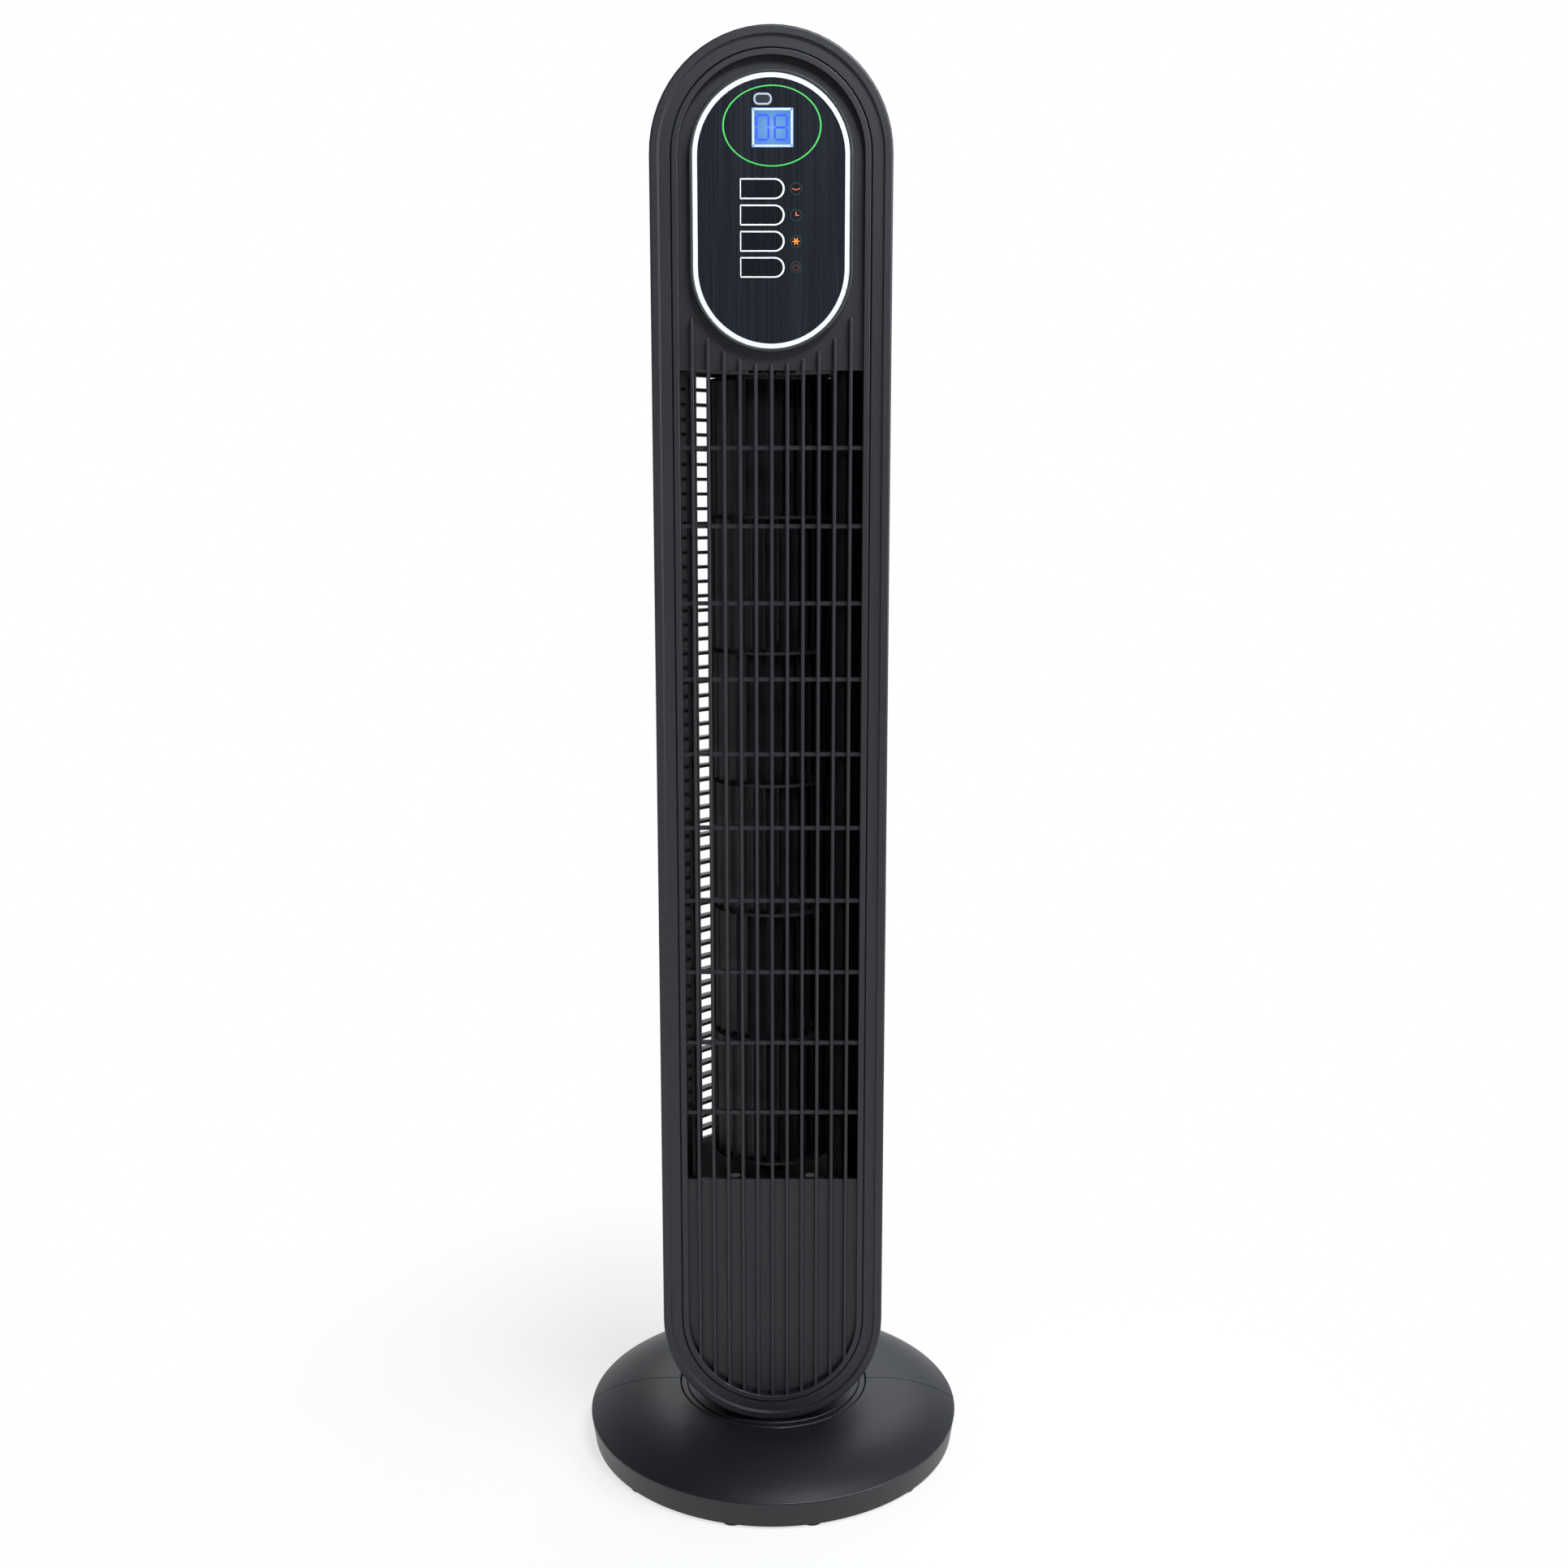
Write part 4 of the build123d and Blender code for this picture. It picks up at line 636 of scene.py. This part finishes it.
def swing_sign():
    arc = sweep(2.7 * milli, 3.05 * milli, radians(226), radians(88), 12)
    return shifted(arc, 0, 2.4 * milli)


def clock_sign():
    stroke = 0.3 * milli
    minute_hand = shifted(flat_plate(stroke, 1.9 * milli), 0, 0.8 * milli)
    hour_hand = shifted(flat_plate(1.5 * milli, stroke), 0.75 * milli, -0.1 * milli)
    hub = sweep(pin_radius, 0.35 * milli, 0, 2 * pi, 16)
    return joined(minute_hand, hour_hand, hub)


def fan_sign():
    blade_count, blade_lean = 6, 0.3
    blade_length, blade_width, blade_reach = 1.6 * milli, 0.42 * milli, 1.1 * milli
    root_corner, tip_corner = 0.05 * milli, 0.2 * milli
    strokes = [sweep(pin_radius, 0.3 * milli, 0, 2 * pi, 16)]
    for count in range(blade_count):
        angle = count * 2 * pi / blade_count
        blade = flat_plate(blade_length, blade_width, root_corner, tip_corner, 4)
        across, up = blade_reach * cos(angle), blade_reach * sin(angle)
        strokes.append(shifted(blade, across, up, angle + blade_lean))
    return joined(*strokes)


def power_sign():
    broken_ring = sweep(1.45 * milli, 1.7 * milli, radians(115), radians(310), 24)
    bar = shifted(flat_plate(0.28 * milli, 1.6 * milli), 0, 1.1 * milli)
    return joined(broken_ring, bar)


lens_low, lens_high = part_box("lamp_lenses")
lens_x = (lens_low.x + lens_high.x) / 2
rim_inner, rim_outer = 2.8 * milli, 3.0 * milli
signs = {
    "swing_key": (swing_sign, ink("swing_light", tone(206, 100, 60), 0.5)),
    "timer_key": (clock_sign, ink("timer_light", tone(240, 112, 58), 0.8)),
    "speed_key": (fan_sign, ink("speed_light", tone(250, 132, 50), 0.9)),
    "power_key": (power_sign, ink("power_light", tone(112, 56, 44), 0.2)),
}
for key, (draw, light) in signs.items():
    low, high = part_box(key)
    centre = (lens_x, (low.z + high.z) / 2)
    name = key.replace("_key", "")
    set_on_panel(draw(), name + "_sign", light, "column", centre, lens_low.y, key_print)
    rim = sweep(rim_inner, rim_outer, 0, 2 * pi, 40)
    set_on_panel(rim, name + "_sign_rim", dim_green_ink, "column", centre, lens_low.y, thin_print)
print("lamp signs done")

# %% [markdown]
# The two halves of the base meet with half a millimetre between them on each
# flank. A moulder closes such a joint with a thin lip behind the wall, so that
# no light shows through. The lip follows the wall's curve: one upright edge is
# spun a few degrees round the middle of the base, then given its thickness.

# %% Lips behind the base seam
base_low, base_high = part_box("base_front_half")
wall_inset = 4.6 * milli
wall_radius = base_high.x - wall_inset
lip_turn = radians(5)
lip_foot, lip_head = 1.0 * milli, 12.5 * milli
lip_thickness = 1.0 * milli


def seam_lip(side):
    """One curved strip inside the wall, centred on the seam."""
    strip = bmesh.new()
    foot, head = base_low.z + lip_foot, base_low.z + lip_head
    ends = [strip.verts.new((side * wall_radius, 0, height)) for height in (foot, head)]
    edge = strip.edges.new(ends)
    bmesh.ops.rotate(strip, cent=(0, 0, 0), matrix=Matrix.Rotation(-lip_turn / 2, 3, "Z"), verts=ends)
    bmesh.ops.spin(strip, geom=ends + [edge], cent=(0, 0, 0), axis=(0, 0, 1), angle=lip_turn, steps=6)
    grown = bmesh.ops.extrude_face_region(strip, geom=strip.faces[:], use_keep_orig=True)
    risen = [item for item in grown["geom"] if isinstance(item, bmesh.types.BMVert)]
    thin = (wall_radius - lip_thickness) / wall_radius
    bmesh.ops.scale(strip, vec=(thin, thin, 1), verts=risen)
    bmesh.ops.recalc_face_normals(strip, faces=strip.faces)
    return strip


lips = joined(seam_lip(-1), seam_lip(1))
lip_mesh = bpy.data.meshes.new("seam_lips")
lips.to_mesh(lip_mesh)
lips.free()
lip_mesh.materials.append(inner.material)
lip_piece = bpy.data.objects.new("seam_lips", lip_mesh)
bpy.context.scene.collection.objects.link(lip_piece)
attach(lip_piece, "base")
print("seam lips at radius", round(wall_radius, 4))

# %% [markdown]
# The floor and the room are staging. The floor is a pale sheet that keeps the
# soft shadow near the foot and turns to pure white further out, where only
# the camera, glossy and see-through rays are told so. Under the base it stays
# plain paper, so that nothing glows through the seam. The room is white to
# the camera and to see-through rays by Light Path. What it gives to the fan is
# another matter: bright from behind, dark from the front and from above, and
# slightly cool, as in a studio with one white wall.

# %% Floor and room
floor_radius = 14
sheet = bmesh.new()
bmesh.ops.create_circle(sheet, cap_ends=True, segments=64, radius=floor_radius)
floor_mesh = bpy.data.meshes.new("floor")
sheet.to_mesh(floor_mesh)
sheet.free()
floor = bpy.data.objects.new("floor", floor_mesh)
bpy.context.scene.collection.objects.link(floor)
floor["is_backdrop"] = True

paper = Finish("floor_paper", Roughness=0.9, Specular_IOR_Level=0.1)
paper.shade(Base_Color=(0.86, 0.86, 0.87, 1.0))
spot = paper.node("ShaderNodeTexCoord", {}, {}, "Object")
far = paper.node("ShaderNodeVectorMath", {"operation": "LENGTH"}, {0: spot}, "Value")
foot_edge, shadow_edge, foot_white = 0.10, 0.42, 0.72
white_share = paper.node(
    "ShaderNodeMapRange",
    {"interpolation_type": "SMOOTHSTEP"},
    {0: far, 1: foot_edge, 2: shadow_edge, 3: foot_white, 4: 1.0},
)
camera_ray = paper.node("ShaderNodeLightPath", {}, {}, "Is Camera Ray")
glossy_ray = paper.node("ShaderNodeLightPath", {}, {}, "Is Glossy Ray")
clear_ray = paper.node("ShaderNodeLightPath", {}, {}, "Is Transmission Ray")
seen = camera_ray.most(glossy_ray).most(clear_ray)
white = paper.node("ShaderNodeEmission", {}, {"Color": (1, 1, 1, 1), "Strength": 1.0})
under_base = 0.106
open_floor = far > under_base
plain_paper = Signal(paper, paper.shader.outputs[0])
whiteness = seen * white_share * open_floor
mixed = paper.node("ShaderNodeMixShader", {}, {0: whiteness, 1: plain_paper, 2: white})
paper.feed(paper.tree.nodes["Material Output"].inputs[0], mixed)
floor_mesh.materials.append(paper.material)

world = bpy.data.worlds.new("room")
bpy.context.scene.world = world
world.use_nodes = True
room = world.node_tree


def room_node(kind, **settings):
    made = room.nodes.new(kind)
    for setting, value in settings.items():
        setattr(made, setting, value)
    return made


def room_math(operation, first, second):
    made = room_node("ShaderNodeMath", operation=operation)
    room.links.new(first, made.inputs[0])
    room.links.new(second, made.inputs[1])
    return made.outputs[0]


def room_ramp(direction, start, end, first, last):
    """A smooth change of the room's light from a start to an end of one direction."""
    made = room_node("ShaderNodeMapRange", interpolation_type="SMOOTHSTEP")
    room.links.new(direction, made.inputs[0])
    for socket, value in enumerate((start, end, first, last), 1):
        made.inputs[socket].default_value = value
    return made.outputs[0]


ways = room_node("ShaderNodeTexCoord")
apart = room_node("ShaderNodeSeparateXYZ")
rays = room_node("ShaderNodeLightPath")
room.links.new(ways.outputs["Generated"], apart.inputs[0])
behind = room_ramp(apart.outputs["Y"], start=-0.5, end=0.7, first=0.10, last=0.80)
above = room_ramp(apart.outputs["Z"], start=0.1, end=0.85, first=1.0, last=0.15)
wall = room_math("MULTIPLY", behind, above)
white_room = room_math("MAXIMUM", rays.outputs["Is Camera Ray"], rays.outputs["Is Transmission Ray"])
cool, neutral = (0.90, 0.95, 1.0, 1.0), (1.0, 1.0, 1.0, 1.0)
tint = room_node("ShaderNodeMix", data_type="RGBA")
tint.inputs[6].default_value = cool
tint.inputs[7].default_value = neutral
room.links.new(white_room, tint.inputs[0])
backdrop = room.nodes["Background"]
room.links.new(tint.outputs[2], backdrop.inputs["Color"])
room.links.new(room_math("MAXIMUM", wall, white_room), backdrop.inputs["Strength"])
print("stage set")

# %% [markdown]
# Four soft lamps do the rest, all a little cool. The key stands to the right
# and is large, so that its reflection in the film is spread out. The front
# lamp hangs high and aims at the column's top. The fill is a faint one from
# the left, and the back lamp lights the rear.

# %% Lamps
lamp_colour = (0.93, 0.965, 1.0)


def softbox(name, place, size, power, target):
    lamp = bpy.data.lights.new(name, "AREA")
    lamp.shape = "RECTANGLE"
    lamp.size, lamp.size_y = size
    lamp.energy = power
    lamp.color = lamp_colour
    stand = bpy.data.objects.new(name, lamp)
    stand.location = place
    stand.rotation_euler = (Vector(target) - Vector(place)).to_track_quat("-Z", "Y").to_euler()
    stand.visible_camera = False
    bpy.context.scene.collection.objects.link(stand)


softbox("key_light", (1.30, -0.62, 0.95), (0.8, 1.3), 20, (0, 0, 0.7))
softbox("front_light", (0.45, -0.85, 1.58), (0.6, 0.5), 27, (0, 0, 0.85))
softbox("fill_light", (-1.30, -0.90, 0.6), (0.5, 1.0), 1.5, (0, 0, 0.5))
softbox("back_light", (0.3, 1.5, 1.4), (1.4, 0.9), 9, (0, 0, 0.4))
print("lamps lit")

# %% [markdown]
# The box round everything shown, the floor left out, is printed at the end.

# %% Visual box
low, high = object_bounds()
print("visual box", tuple(round(part, 4) for part in low), tuple(round(part, 4) for part in high))
